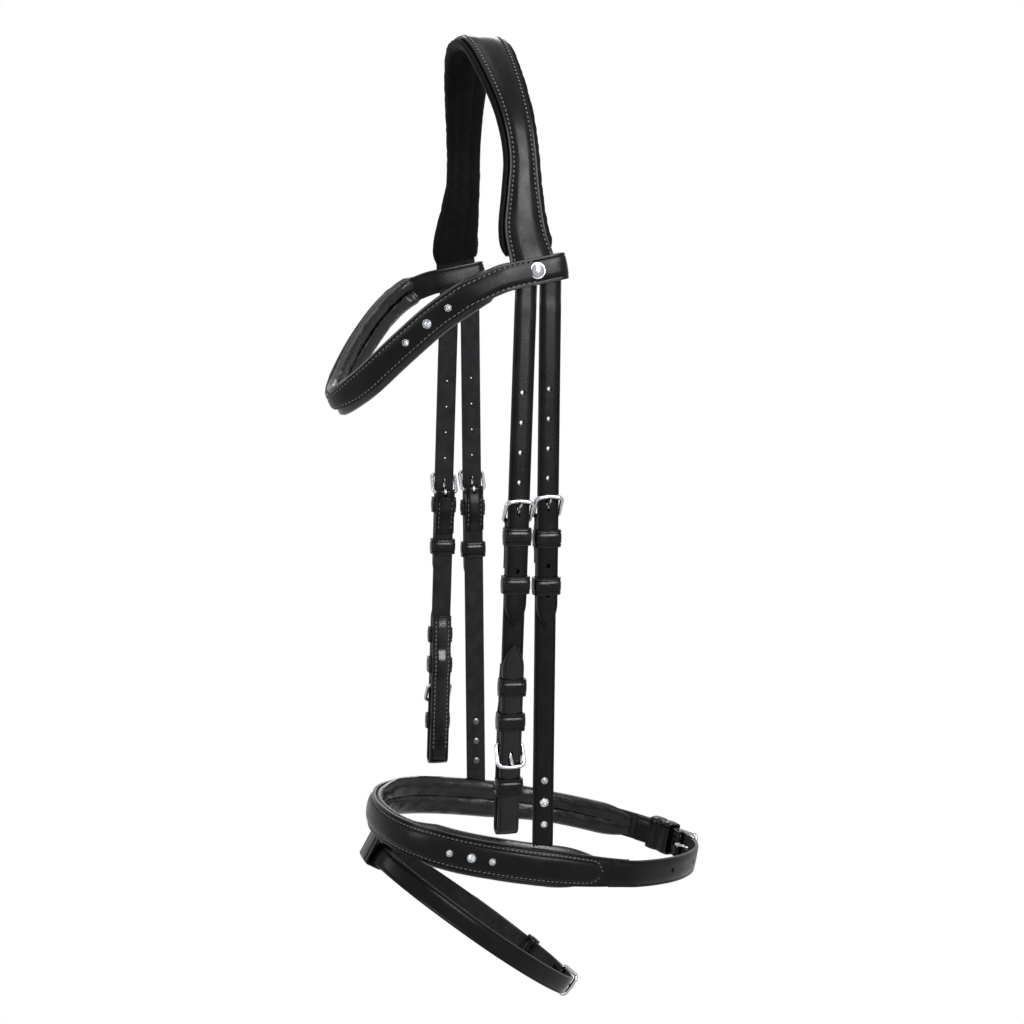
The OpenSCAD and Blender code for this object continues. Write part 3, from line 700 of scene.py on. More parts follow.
@dataclass
class Awl:
    """Sews: lays thread stitches along a line on a strap."""

    pitch: float = 3.1
    thread: float = 0.62
    cover: float = 0.74

    def row(self, points: Sequence[Vector], outs: Sequence[Vector], lift: float = 0.12) -> bmesh.types.BMesh:
        """Lays one row.

        Args:
            points: Line of the seam on the face, in mm.
            outs: Outward direction at each point.
            lift: How far the thread stands out of the line.

        Returns:
            Mesh of all its stitches.
        """
        bm = bmesh.new()
        along = lengths(points)
        count = max(1, int(along[-1] / self.pitch))
        wanted = [(k + 0.5) * along[-1] / count for k in range(count)]
        grid = [[np.interp(wanted, along, [v[k] for v in rows]) for k in range(3)] for rows in (points, outs)]
        ahead = [np.interp(np.array(wanted) + 0.4, along, [v[k] for v in points]) for k in range(3)]
        size = Matrix.Diagonal((self.pitch * self.cover / 2, self.thread / 2, self.thread / 2, 1.0))
        for k in range(count):
            here, out = (Vector(g[c][k] for c in range(3)) for g in grid)
            run = Vector(ahead[c][k] for c in range(3)) - here
            if run.length < 1e-6:
                continue
            run.normalize()
            side = out.cross(run).normalized()
            out = run.cross(side)
            run = (run + side * 0.12).normalized()
            turn = Matrix((run, side, out)).transposed().to_4x4()
            made = bmesh.ops.create_uvsphere(
                bm, u_segments=7, v_segments=5, radius=1.0, matrix=Matrix.Rotation(math.pi / 2, 4, "Y")
            )
            bmesh.ops.transform(
                bm, matrix=Matrix.Translation(here + out * lift) @ turn @ size, verts=made["verts"]
            )
        return bm

    def along_strap(
        self, stations: Sequence[Station], across: Callable[[Station], float], face: float = 1.0, lift: float = 0.0
    ) -> bmesh.types.BMesh:
        """Sews along a strap at a distance across it; face is 1 for the grain side and -1 for the flesh side."""
        points = [s.centre + s.wide * across(s) + s.out * face * (s.thick / 2 + lift) for s in stations]
        return self.row(points, [s.out * face for s in stations])


@dataclass(frozen=True)
class StrapPoint:
    """A point of a strap's middle line seen from its edge: outward and upward, with the thickness there."""

    n: float
    z: float
    thick: float


@dataclass
class FlatStrap:
    """A strap that lies in its own plane and may turn round a bar; it runs so that w x t is the grain side."""

    width: float
    points: list[StrapPoint]
    tip_start: float = 0.0
    tip_end: float = 0.0
    section: LeatherSection = field(default_factory=LeatherSection)
    step: float = 3.2

    def line(self) -> list[tuple[Vector, float]]:
        """Returns close points along the strap with their thickness."""
        raw = [Vector((p.n, 0, p.z)) for p in self.points]
        along = lengths(raw)
        wanted: list[float] = []
        for i in range(len(raw) - 1):
            gap = along[i + 1] - along[i]
            count = max(1, math.ceil(gap / self.step))
            wanted += [along[i] + gap * k / count for k in range(count)]
        wanted.append(along[-1])
        total = along[-1]
        for tip, at_end in ((self.tip_start, False), (self.tip_end, True)):
            if tip:
                fine = [tip * q for q in (0.0, 0.012, 0.04, 0.09, 0.16, 0.26, 0.38, 0.52, 0.7, 0.9, 1.1)]
                wanted = [w for w in wanted if (total - w if at_end else w) > tip * 1.15]
                wanted += [total - f if at_end else f for f in fine]
        wanted = sorted(wanted)
        axes = [np.interp(wanted, along, [p[k] for p in raw]) for k in range(3)]
        thick = np.interp(wanted, along, [p.thick for p in self.points])
        return [(Vector(p), float(t)) for p, t in zip(zip(*axes), thick)]

    def stations(self) -> list[Station]:
        """Returns the cross-sections' places, narrowed at the pointed ends."""
        line = self.line()
        points = [p for p, _ in line]
        along = lengths(points)
        total = along[-1]

        def half(i: int) -> float:
            value = self.width / 2
            for tip, away in ((self.tip_start, along[i]), (self.tip_end, total - along[i])):
                if tip and away < tip:
                    share = away / tip
                    value = min(value, self.width / 2 * max(0.05, math.sqrt(1 - (1 - share) ** 2) ** 1.5))
            return value

        return stand(points, Vector((0, 1, 0)), half, lambda i: line[i][1])

    def mesh(self) -> bmesh.types.BMesh:
        """Returns the strap's mesh in its own frame."""
        return loft(self.stations(), lambda s, _: self.section.ring(s.half, s.thick))


def round_punch(z: float, radius: float, taper: float = 0.0, depth: float = 24.0) -> bmesh.types.BMesh:
    """A punch along the strap's outward direction.

    Args:
        z: Height of its middle.
        radius: Radius at its middle.
        taper: How much narrower it is at its end on the flesh side, and wider on the grain side.
        depth: Length.

    Returns:
        Closed cutter.
    """
    bm = bmesh.new()
    bmesh.ops.create_cone(
        bm,
        cap_ends=True,
        segments=20,
        radius1=radius - taper,
        radius2=radius + taper,
        depth=depth,
        matrix=Matrix.Translation((0, 0, z)) @ Matrix.Rotation(math.pi / 2, 4, "Y"),
    )
    return bm


def awl_hole(z: float, flesh: float = 0.62, grain: float = 2.0) -> bmesh.types.BMesh:
    """A buckle hole: the punch goes in at the grain side, and the leather closes a little behind it.

    Args:
        z: Height of the hole.
        flesh: Radius a millimetre past the flesh side.
        grain: Radius a millimetre past the grain side.

    Returns:
        Closed cutter.
    """
    return round_punch(z, (flesh + grain) / 2, taper=(grain - flesh) / 2, depth=4.8)


def slot_punch(low: float, high: float, half: float) -> bmesh.types.BMesh:
    """A punch for a slot with round ends, drawn out of one round punch."""
    bm = round_punch(0.0, half)
    upper = [v for v in bm.verts if v.co.z > 1e-4]
    lower = [v for v in bm.verts if v.co.z < -1e-4]
    bmesh.ops.translate(bm, vec=Vector((0, 0, high - half)), verts=upper)
    bmesh.ops.translate(bm, vec=Vector((0, 0, low + half)), verts=lower)
    middle = [v for v in bm.verts if abs(v.co.z) <= 1e-4]
    bmesh.ops.translate(bm, vec=Vector((0, 0, low + half)), verts=middle)
    return bm


@dataclass(frozen=True)
class Layers:
    """How the plies lie at a buckle, in mm outward from the middle of the billet."""

    strap: float = 2.8
    fold: float = 1.8
    ply: float = 2.6
    gap: float = 0.2
    wire: float = 1.3
    frame_gap: float = 0.3
    frame_long: float = 12.5
    tongue: float = 1.0

    @property
    def core_n(self) -> float:
        """Middle of the buckled strap."""
        return -(self.strap + self.gap)

    @property
    def fold_n(self) -> float:
        """Middle of its turned-back end."""
        return self.core_n - (self.strap + self.fold) / 2 - self.gap

    @property
    def heel_n(self) -> float:
        """Middle of the heel bar."""
        return (self.core_n + self.strap / 2 + self.fold_n - self.fold / 2) / 2

    @property
    def end_n(self) -> float:
        """Middle of the end bar."""
        return self.strap / 2 + self.frame_gap + self.wire

    @property
    def ply_n(self) -> float:
        """Middle of the ply that holds the bit."""
        return self.fold_n - self.fold / 2 - self.gap - self.ply / 2

    @property
    def near_core_n(self) -> float:
        """Middle of that ply where it lies on the strap itself."""
        return self.core_n - self.strap / 2 - self.gap - self.ply / 2


LAYERS = Layers()


def turned_end(heel_z: float, fold_long: float, top: bool, reach: float = 9.0, over: float = 0.0) -> list[StrapPoint]:
    """Middle line of a strap's end that turns round a heel bar, skived thin at the bar.

    Args:
        heel_z: Height of the heel bar.
        fold_long: Length of the turned-back end.
        top: True where the strap comes from below and turns at its top.
        reach: Length over which the strap thins.
        over: Distance below the bar of a keeper that the turned-back end passes over, or 0.

    Returns:
        Points in the order of a strap that runs up its outer ply.
    """
    lay = LAYERS
    sign = 1 if top else -1
    lap = lay.wire + 0.57
    thin = 1.05
    core = [
        StrapPoint(lay.core_n, -reach, lay.strap),
        StrapPoint(lay.core_n + 0.12, -reach * 0.6, lay.strap * 0.9),
        StrapPoint(lay.heel_n + lap - 0.1, -2.2, 1.5),
        StrapPoint(lay.heel_n + lap, -0.6, thin),
    ]
    bend = [
        StrapPoint(lay.heel_n + lap * math.cos(a), lap * math.sin(a), thin)
        for a in (math.radians(v) for v in range(0, 181, 15))
    ]
    fold = [
        StrapPoint(lay.heel_n - lap, -0.8, thin),
        StrapPoint(lay.fold_n - 0.15, -4.5, 1.5),
        StrapPoint(lay.fold_n, -8.0, lay.fold),
        StrapPoint(lay.fold_n, -fold_long, lay.fold * 0.8),
    ]
    if over:
        rise = lay.fold_n - 1.15
        fold[2:] = [
            StrapPoint(rise, -(over - 5.2), lay.fold),
            StrapPoint(rise, -(over + 5.2), lay.fold),
            StrapPoint(lay.fold_n, -(over + 9.5), lay.fold),
            StrapPoint(lay.fold_n, -fold_long, lay.fold * 0.7),
        ]
    rows = [StrapPoint(p.n, heel_z + sign * p.z, p.thick) for p in core + bend + fold]
    return rows if top else rows[::-1]


def buckle_frame(width: float, arch: float = 1.1) -> bmesh.types.BMesh:
    """A swelled wire frame with round corners: straight heel bar at z = 0, arched end bar above it.

    Args:
        width: Width of the strap that it takes.
        arch: Rise of the end bar's middle.

    Returns:
        Mesh in the strap's frame.
    """
    lay = LAYERS
    half = width / 2 + lay.frame_gap + lay.wire
    rise = Vector((lay.end_n - lay.heel_n, 0, lay.frame_long))
    heel = Vector((lay.heel_n, 0, 0))
    r = 2.4

    def at(y: float, share: float) -> Vector:
        return heel + rise * share + Vector((0, y, 0))

    corner = r / rise.length
    outline = [at(-half + r, 0), at(0, 0), at(half - r, 0)]
    outline += [at(half - r * (1 - math.sin(a)), corner * (1 - math.cos(a))) for a in (0.4, 0.8, 1.2)]
    outline += [at(half, corner), at(half, 0.5), at(half, 1 - corner)]
    outline += [at(half - r * (1 - math.cos(a)), 1 - corner * (1 - math.sin(a))) for a in (0.4, 0.8, 1.2)]
    top = [at(half * (1 - k / 4), 1) + Vector((0, 0, arch * math.sin(math.pi * k / 8))) for k in (1, 2, 3, 4)]
    outline += top + [Vector((p.x, -p.y, p.z)) for p in reversed(top[:-1])]
    outline += [at(-half + r * (1 - math.cos(a)), 1 - corner * (1 - math.sin(a))) for a in (1.2, 0.8, 0.4)]
    outline += [at(-half, 1 - corner), at(-half, 0.5), at(-half, corner)]
    outline += [at(-half + r * (1 - math.sin(a)), corner * (1 - math.cos(a))) for a in (1.2, 0.8, 0.4)]
    path = curve_through(outline, 3, closed=True)
    across = rise.cross(Vector((0, 1, 0))).normalized()
    top_z = lay.frame_long

    def half_at(i: int) -> float:
        share = max(0.0, min(1.0, path[i].z / top_z))
        return lay.wire * (0.97 + 0.14 * share**2)

    rows = stand(path, across, half_at, 1.0, closed=True)
    return loft(rows, tube_ring(1.0, 1.0, 14), closed=True)


def buckle_tongue() -> bmesh.types.BMesh:
    """A drawn tongue: its eye rolled round the heel bar, its shaft flattened to a tip on the end bar."""
    lay = LAYERS
    arm = math.hypot(lay.end_n - lay.heel_n, lay.frame_long)
    over = lay.wire + lay.tongue + 0.3
    lean = math.atan2(lay.end_n - lay.heel_n, lay.frame_long) + math.asin(over / arm)
    long = math.sqrt(arm**2 - over**2) + 1.6
    ahead = Vector((math.sin(lean), 0, math.cos(lean)))
    side = Vector((math.cos(lean), 0, -math.sin(lean)))
    heel = Vector((lay.heel_n, 0, 0))
    lap = lay.wire + 0.75
    path: list[Vector] = []
    for degree in range(200, -1, -20):
        a = math.radians(degree)
        path.append(heel - side * (lap * math.cos(a)) - ahead * (lap * math.sin(a)))
    # the eye ends above the bar and the shaft comes back to its own line
    path = [p for p in path if (p - heel).dot(ahead) < lap * 0.5]
    path += [heel + ahead * (lap * 0.9) - side * (lap * 0.72), heel + ahead * (lap * 1.6) - side * 0.35]
    first, reach = lap * 1.6, long - lap * 1.6
    path += [heel + ahead * (first + reach * k / 8) - side * (0.75 * math.sin(math.pi * k / 8)) for k in range(1, 9)]
    total = len(path)

    def half(i: int) -> float:
        share = i / (total - 1)
        taper = lay.tongue * (0.78 + 0.3 * math.sin(min(1.0, share * 1.6) * math.pi * 0.5))
        return taper * (0.45 if i == total - 1 else 0.85 if i == total - 2 else 1.0)

    return loft(stand(path, Vector((0, 1, 0)), half, 1.0), tube_ring(1.05, 0.82, 12))


def keeper(
    width: float, low: float, high: float, tall: float = 11.6, thick: float = 1.6, gap: float = 0.3,
    inner: float = 1.0,
) -> bmesh.types.BMesh:
    """A loop of leather round the plies, creased beside both edges.

    Args:
        width: Width of the strap.
        low: Inner face of the plies.
        high: Outer face of the plies.
        tall: Height along the strap.
        thick: Thickness of the loop's leather.
        gap: Clearance to the plies.
        inner: Thickness of its inner run as a share of the rest.

    Returns:
        Mesh in the strap's frame, its middle at z = 0.
    """
    x0, x1 = low - gap - thick * inner / 2, high + gap + thick / 2
    y1 = width / 2 + gap + thick / 2
    r = min(1.7, (x1 - x0) / 2 - 0.1)
    corners = [(x1 - r, y1 - r, 0), (x0 + r, y1 - r, 90), (x0 + r, -y1 + r, 180), (x1 - r, -y1 + r, 270)]
    points: list[Vector] = []
    for cx, cy, start in corners:
        for turn in (0, 30, 60, 90):
            a = math.radians(start + turn)
            points.append(Vector((cx + r * math.cos(a), cy + r * math.sin(a), 0)))
    rows: list[Vector] = []
    for a, b in zip(points, points[1:] + points[:1]):
        count = max(1, round((b - a).length / 3.0))
        rows += [a.lerp(b, k / count) for k in range(count)]
    section = LeatherSection(edge_round=0.55, crease=2.3, crease_depth=0.5, crown=0.3)

    def thick_at(i: int) -> float:
        return thick * (inner if rows[i].x < x0 + 0.3 else 1.0)

    stations = stand(rows, Vector((0, 0, 1)), tall / 2, thick_at, closed=True)
    centre = Vector(((x0 + x1) / 2, 0, 0))
    if sum((s.centre - centre).dot(s.out) for s in stations) < 0:
        for s in stations:
            s.out, s.wide = -s.out, s.wide
    return loft(stations, lambda s, _: section.ring(s.half, s.thick), closed=True)


@dataclass
class Cloth:
    """Stuffs a lining: the skin is blown up between its seams and wrinkles as it is longer than its bed."""

    frames: int = 14
    pressure: float = 6.0
    slack: float = 0.05
    cap_mm: float = 1.6

    def stuff(self, piece: bpy.types.Object, held: Sequence[int]) -> None:
        """Runs the cloth and keeps its result.

        Args:
            piece: Closed lining mesh.
            held: Indices of the points that seams or the strap hold.
        """
        group = piece.vertex_groups.new(name="held")
        group.add(list(held), 1.0, "REPLACE")
        before = np.array([v.co for v in piece.data.vertices])
        cloth = piece.modifiers.new("stuffing", "CLOTH")
        setup = cloth.settings
        setup.quality = 5
        setup.mass = 0.02
        setup.tension_stiffness = setup.compression_stiffness = 12
        setup.shear_stiffness = 6
        setup.bending_stiffness = 0.6
        setup.use_pressure = True
        setup.uniform_pressure_force = self.pressure
        setup.shrink_min = -self.slack
        setup.vertex_group_mass = "held"
        setup.pin_stiffness = 1.0
        setup.effector_weights.gravity = 0
        cloth.collision_settings.use_collision = False
        cloth.collision_settings.use_self_collision = False
        scene = bpy.context.scene
        cloth.point_cache.frame_start, cloth.point_cache.frame_end = 1, self.frames
        for number in range(1, self.frames + 1):
            scene.frame_set(number)
        graph = bpy.context.evaluated_depsgraph_get()
        after = np.array([v.co for v in piece.evaluated_get(graph).data.vertices])
        piece.modifiers.remove(cloth)
        piece.vertex_groups.clear()
        scene.frame_set(1)
        move = after - before
        size = np.linalg.norm(move, axis=1, keepdims=True)
        cap = self.cap_mm * MM
        move *= np.where(size > 0, cap * np.tanh(size / cap) / np.maximum(size, 1e-12), 1.0)
        piece.data.vertices.foreach_set("co", (before + move).ravel())
        piece.data.update()
        LOG.info("%s: stuffed, skin moved up to %.2f mm", piece.name, float(size.max()) / MM)


def drape_noise(at: Vector, size: float, seed: float) -> float:
    """A repeatable slow bump from -1 to 1 at a point in mm."""
    return noise.noise(Vector((at.x / size + seed, at.y / size, at.z / size)))


@dataclass(frozen=True)
class RollSection:
    """Cross-section of a stuffed lining: flat under the strap, rolls on the other side with sewn channels."""

    rolls: int = 2
    shallow: float = 1.8
    deep: float = 6.0
    rim: float = 0.9
    columns: int = 26
    channel: float = 0.5  # share of the depth that is left in a channel between two rolls

    def ring(self, half: float, puff: float = 1.0) -> list[SectionPoint]:
        """Goes once round the section.

        Args:
            half: Half width in mm.
            puff: Share of the full depth.

        Returns:
            Section points; the flat side is the grain face index 0, as is the rest.
        """
        points: list[SectionPoint] = []
        flat = half - self.rim
        points += [(flat * k, -0.15, 0.0, Face.GRAIN) for k in (-1, -0.66, -0.33, 0, 0.33, 0.66, 1)]
        for k in range(self.columns + 1):
            share = k / self.columns
            phase = share * self.rolls
            bulge = abs(math.sin(math.pi * phase)) ** 0.55
            if 0.5 < phase < self.rolls - 0.5:
                bulge = self.channel + (1 - self.channel) * bulge
            edge = min(1.0, min(share, 1 - share) * self.columns / 1.6)
            base = self.shallow * (0.35 + 0.65 * edge)
            depth = base + (self.deep - base) * bulge * puff
            across = half * (1 - 2 * share)
            if share in (0.0, 1.0):
                depth = self.deep * 0.3
            points.append((across, -depth, 0.0, Face.GRAIN))
        return points

    def seam_columns(self) -> list[int]:
        """Columns of the ring that a seam or the strap holds."""
        held = list(range(7))
        for k in range(self.columns + 1):
            phase = k / self.columns * self.rolls
            channel = abs(phase - round(phase)) < 0.5 * self.rolls / self.columns
            if channel or min(k, self.columns - k) < 3:
                held.append(7 + k)
        return held


def lining(
    stations: Sequence[Station],
    section: RollSection,
    puff: Callable[[int], float],
    name: str,
    finish: Finish,
    body: str,
    node: str,
    cloth: Cloth,
    wrinkle: float = 0.25,
) -> bpy.types.Object:
    """Builds one stuffed lining.

    Args:
        stations: Places along the strap, on its flesh side.
        section: Its cross-section.
        puff: Share of full depth at each station.
        name: Name of the piece.
        finish: Its leather.
        body: Body that carries it.
        node: Node that it stands for.
        cloth: How it is stuffed.
        wrinkle: Depth in mm of the slow unevenness of a hand-stuffed roll.

    Returns:
        The finished padded piece.
    """

    def ring(s: Station, i: int) -> list[SectionPoint]:
        rows = section.ring(s.half, puff(i))
        out: list[SectionPoint] = []
        for across, depth, edge, face in rows:
            if depth < -0.5:
                at = s.centre + s.wide * across
                depth += wrinkle * puff(i) * (drape_noise(at, 9.0, 3.0) + 0.6 * drape_noise(at, 4.0, 11.0))
            out.append((across, depth, edge, face))
        return out

    bm = loft(stations, ring)
    piece = place_piece(bm, name, (finish,), body, (node,), crisp=75)
    seams = set(section.seam_columns())
    size = len(ring(stations[0], 0))
    ends = (0, 1, len(stations) - 2, len(stations) - 1)
    held = [v for v in range(len(stations) * size) if v // size in ends or v % size in seams]
    cloth.stuff(piece, held)
    return piece


# ---------------------------------------------------------------- stones


def islands(node: str) -> list[np.ndarray]:
    """Splits a node of the frame into its separate solids.

    Args:
        node: Name of the node.

    Returns:
        Points of each solid, in mm.
    """
    bm = bmesh.new()
    bm.from_mesh(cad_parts[node].data)
    bmesh.ops.remove_doubles(bm, verts=bm.verts, dist=1e-6)
    left, out = set(bm.verts), []
    while left:
        stack, group = [left.pop()], []
        while stack:
            v = stack.pop()
            group.append(v)
            for e in v.link_edges:
                other = e.other_vert(v)
                if other in left:
                    left.remove(other)
                    stack.append(other)
        out.append(np.array([v.co for v in group]) / MM)
    bm.free()
    return out


def seat_of(points: np.ndarray, hub: Vector) -> tuple[Matrix, float, float]:
    """Finds how a round solid sits.

    Args:
        points: Its points in mm.
        hub: A point inside the bridle; the solid's face looks away from it.

    Returns:
        Matrix whose Z axis is outward from the solid's back, its radius and its height.
    """
    centre = (points.min(0) + points.max(0)) / 2
    spread = np.linalg.svd(points - points.mean(0), full_matrices=False)[2]
    extents = [np.ptp(points @ axis) for axis in spread]
    pairs = [(abs(extents[(k + 1) % 3] - extents[(k + 2) % 3]), k) for k in range(3)]
    axis = Vector(spread[min(pairs)[1]])
    if axis.dot(Vector(centre) - hub) < 0:
        axis.negate()
    radial = points - np.outer(points @ np.array(axis), np.array(axis))
    mid = (radial.min(0) + radial.max(0)) / 2
    radius = float(np.linalg.norm(radial - mid, axis=1).max())
    height = float(np.ptp(points @ np.array(axis)))
    base = float((points @ np.array(axis)).min())
    turn = axis.to_track_quat("Z", "Y").to_matrix().to_4x4()
    return Matrix.Translation(Vector(mid) + axis * base) @ turn, radius, height


@dataclass
class StoneWork:
    """Sets stones: cups with claws, faceted crystals, rivet backs and plain studs."""

    hub: Vector
    lean: Matrix = field(default_factory=lambda: Matrix.Identity(4))

    def cups(self, node: str, name: str, body: str) -> None:
        """Builds the metal cups and rivet backs of a node."""
        parts: list[bmesh.types.BMesh] = []
        for points in islands(node):
            seat, radius, height = seat_of(points, self.hub)
            parts.append(moved(self.cup(radius, height) if height > 1.0 else self.rivet(radius), seat))
        place_piece(join(parts), name, (CHROME, RIVET), body, (node,), crisp=40)

    def cup(self, radius: float, height: float) -> bmesh.types.BMesh:
        """Spins one cup and stands four claws on its rim."""
        bm = bmesh.new()
        outline = [(0.0, 0.0), (radius - 0.15, 0.0), (radius, 0.2), (radius - 0.12, height * 0.75),
                   (radius - 0.35, height), (radius - 0.62, height - 0.05), (radius - 0.7, 0.7), (0.0, 0.6)]
        spin_outline(bm, outline, 28)
        parts = [bm]
        for k in range(4):
            claw = bmesh.new()
            made = bmesh.ops.create_uvsphere(claw, u_segments=8, v_segments=6, radius=0.45)
            bmesh.ops.scale(claw, vec=Vector((0.9, 1.0, 1.5)), verts=made["verts"])
            bmesh.ops.translate(claw, vec=Vector((radius - 0.55, 0, height - 0.1)), verts=made["verts"])
            parts.append(moved(claw, Matrix.Rotation(math.pi / 2 * k + math.pi / 4, 4, "Z")))
        return join(parts)

    def rivet(self, radius: float) -> bmesh.types.BMesh:
        """Spins one domed rivet back; the dome faces the horse."""
        bm = bmesh.new()
        outline = [(0.0, 0.6), (radius - 0.2, 0.6), (radius, 0.42), (radius - 0.15, 0.1), (radius * 0.55, -0.28),
                   (radius * 0.3, -0.36), (0.0, -0.38)]
        spin_outline(bm, outline, 28)
        for f in bm.faces:
            f.material_index = 1
        return bm

    def stones(self, node: str, name: str, body: str) -> None:
        """Cuts the crystals of a node: flat table, two rows of facets."""
        parts: list[bmesh.types.BMesh] = []
        for points in islands(node):
            seat, radius, height = seat_of(points, self.hub)
            gem = bmesh.new()
            made = bmesh.ops.create_cone(
                gem, cap_ends=True, segments=8, radius1=radius, radius2=radius * 0.52, depth=height * 0.6,
                matrix=Matrix.Translation((0, 0, height * 0.62)),
            )
            girdle = [v for v in made["verts"] if v.co.z < height * 0.5]
            bmesh.ops.subdivide_edges(
                gem, edges=[e for e in gem.edges if all(v in girdle for v in e.verts)], cuts=1
            )
            for v in gem.verts:
                if v.co.z < height * 0.5:
                    v.co.xy = v.co.xy.normalized() * radius
            base = bmesh.ops.extrude_face_region(
                gem, geom=[f for f in gem.faces if f.normal.z < -0.9]
            )
            low = [v for v in base["geom"] if isinstance(v, bmesh.types.BMVert)]
            bmesh.ops.translate(gem, vec=Vector((0, 0, -height * 0.3)), verts=low)
            bmesh.ops.scale(gem, vec=Vector((0.55, 0.55, 1)), verts=low)
            bmesh.ops.triangulate(gem, faces=[f for f in gem.faces if len(f.verts) > 4 and abs(f.normal.z) < 0.9])
            bmesh.ops.recalc_face_normals(gem, faces=gem.faces)
            parts.append(moved(gem, seat @ Matrix.Rotation(0.3, 4, "Z")))
        place_piece(join(parts), name, (CRYSTAL,), body, (node,), crisp=8)

    def studs(self, node: str, name: str, body: str) -> None:
        """Spins the plain domed studs of a node."""
        parts: list[bmesh.types.BMesh] = []
        for points in islands(node):
            seat, radius, height = seat_of(points, self.hub)
            bm = bmesh.new()
            outline = [(0.0, 0.0), (radius - 0.25, 0.0), (radius, 0.25), (radius, 0.6), (radius - 0.25, 0.85),
                       (radius - 0.9, 0.9), (radius - 1.15, 0.72), (radius - 1.5, 0.85), (radius * 0.5, height - 0.1),
                       (0.0, height)]
            spin_outline(bm, outline, 48)
            parts.append(moved(bm, self.lean @ seat))
        place_piece(join(parts), name, (CHROME,), body, (node,), crisp=40)


def spin_outline(bm: bmesh.types.BMesh, outline: Sequence[tuple[float, float]], steps: int) -> None:
    """Spins an outline of (radius, height) points once round Z into a closed solid."""
    verts = [bm.verts.new((r, 0, z)) for r, z in outline]
    edges = [bm.edges.new(pair) for pair in zip(verts, verts[1:])]
    bmesh.ops.spin(
        bm, geom=verts + edges, cent=(0, 0, 0), axis=(0, 0, 1), angle=2 * math.pi, steps=steps, use_merge=True
    )
    bmesh.ops.remove_doubles(bm, verts=bm.verts, dist=1e-4)
    bmesh.ops.recalc_face_normals(bm, faces=bm.faces)


# ---------------------------------------------------------------- the bridle's own sizes


@dataclass(frozen=True)
class Pattern:
    """The bridle's cutting pattern in mm, in the row's frame; positions are read from the frame's nodes."""

    cheek_x: float
    root_z: float
    nose_x: float
    crown_drop: float = 180.0
    strap_w: float = 14.4
    cheek_y: float = -17.8
    hanger_y: float = -1.2
    cheek_lean: float = 2.0
    cheek_heel: float = 124.5
    hanger_heel: float = 122.5
    bit_heel: float = 270.0
    bit_end: float = 330.0
    hanger_end: float = 345.0
    lining_t: float = 5.0
    piping: float = 3.2
    brow_reach: float = 88.0
    brow_drop: float = 80.0
    nose_front: float = 99.0
    nose_rear: float = 141.0
    nose_slope: float = 11.2
    nose_h: float = 24.0
    nose_rear_h: float = 19.5
    flash_slope: float = 39.0
    flash_l: float = 180.0
    flash_x: float = 50.0
    flash_w: float = 13.6

    @classmethod
    def from_frame(cls) -> "Pattern":
        """Reads the places that the frame gives.

        Returns:
            The pattern.
        """
        billet_low, billet_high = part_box("near_cheek_billet")
        hanger_low, hanger_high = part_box("near_hanger_billet")
        nose_low, nose_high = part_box("noseband_overlay")
        return cls(
            cheek_x=(billet_low.x + billet_high.x) / 2 / MM,
            root_z=hanger_high.z / MM + 1.04,
            nose_x=(nose_high.x - nose_low.x) / 2 / MM - 2.4,
        )

    @property
    def hanger_lean(self) -> float:
        """Inward lean of a hanger, radians."""
        return math.atan2(self.cheek_x - (self.nose_x - 2.2), self.hanger_end)

    def cheek_place(self, hand: Hand) -> Matrix:
        """Matrix from a cheek strap's frame to the row's, in mm."""
        place = Matrix.Translation((self.cheek_x, self.cheek_y, self.root_z)) @ Matrix.Rotation(
            -math.radians(self.cheek_lean), 4, "X"
        )
        return self.mirror(hand) @ place

    def hanger_place(self, hand: Hand) -> Matrix:
        """Matrix from a hanger strap's frame to the row's, in mm."""
        place = Matrix.Translation((self.cheek_x, self.hanger_y, self.root_z)) @ Matrix.Rotation(
            self.hanger_lean, 4, "Y"
        )
        return self.mirror(hand) @ place

    def nose_place(self) -> Matrix:
        """Matrix from the noseband's frame to the row's, in mm."""
        return Matrix.Translation(
            (0, self.hanger_y, self.root_z - self.hanger_end - self.nose_h / 2)
        ) @ Matrix.Rotation(-math.radians(self.nose_slope), 4, "X")

    def flash_place(self) -> Matrix:
        """Matrix from the flash strap's frame to the row's, in mm."""
        return (
            self.nose_place()
            @ Matrix.Translation((0, -self.nose_front * 0.995 + 5, -self.nose_h / 2 - 11))
            @ Matrix.Rotation(math.radians(self.nose_slope - self.flash_slope), 4, "X")
        )

    @staticmethod
    def mirror(hand: Hand) -> Matrix:
        """Matrix that turns a near-side shape to the asked side."""
        return Matrix.Diagonal((hand.value, 1, 1, 1))


# ---------------------------------------------------------------- crown


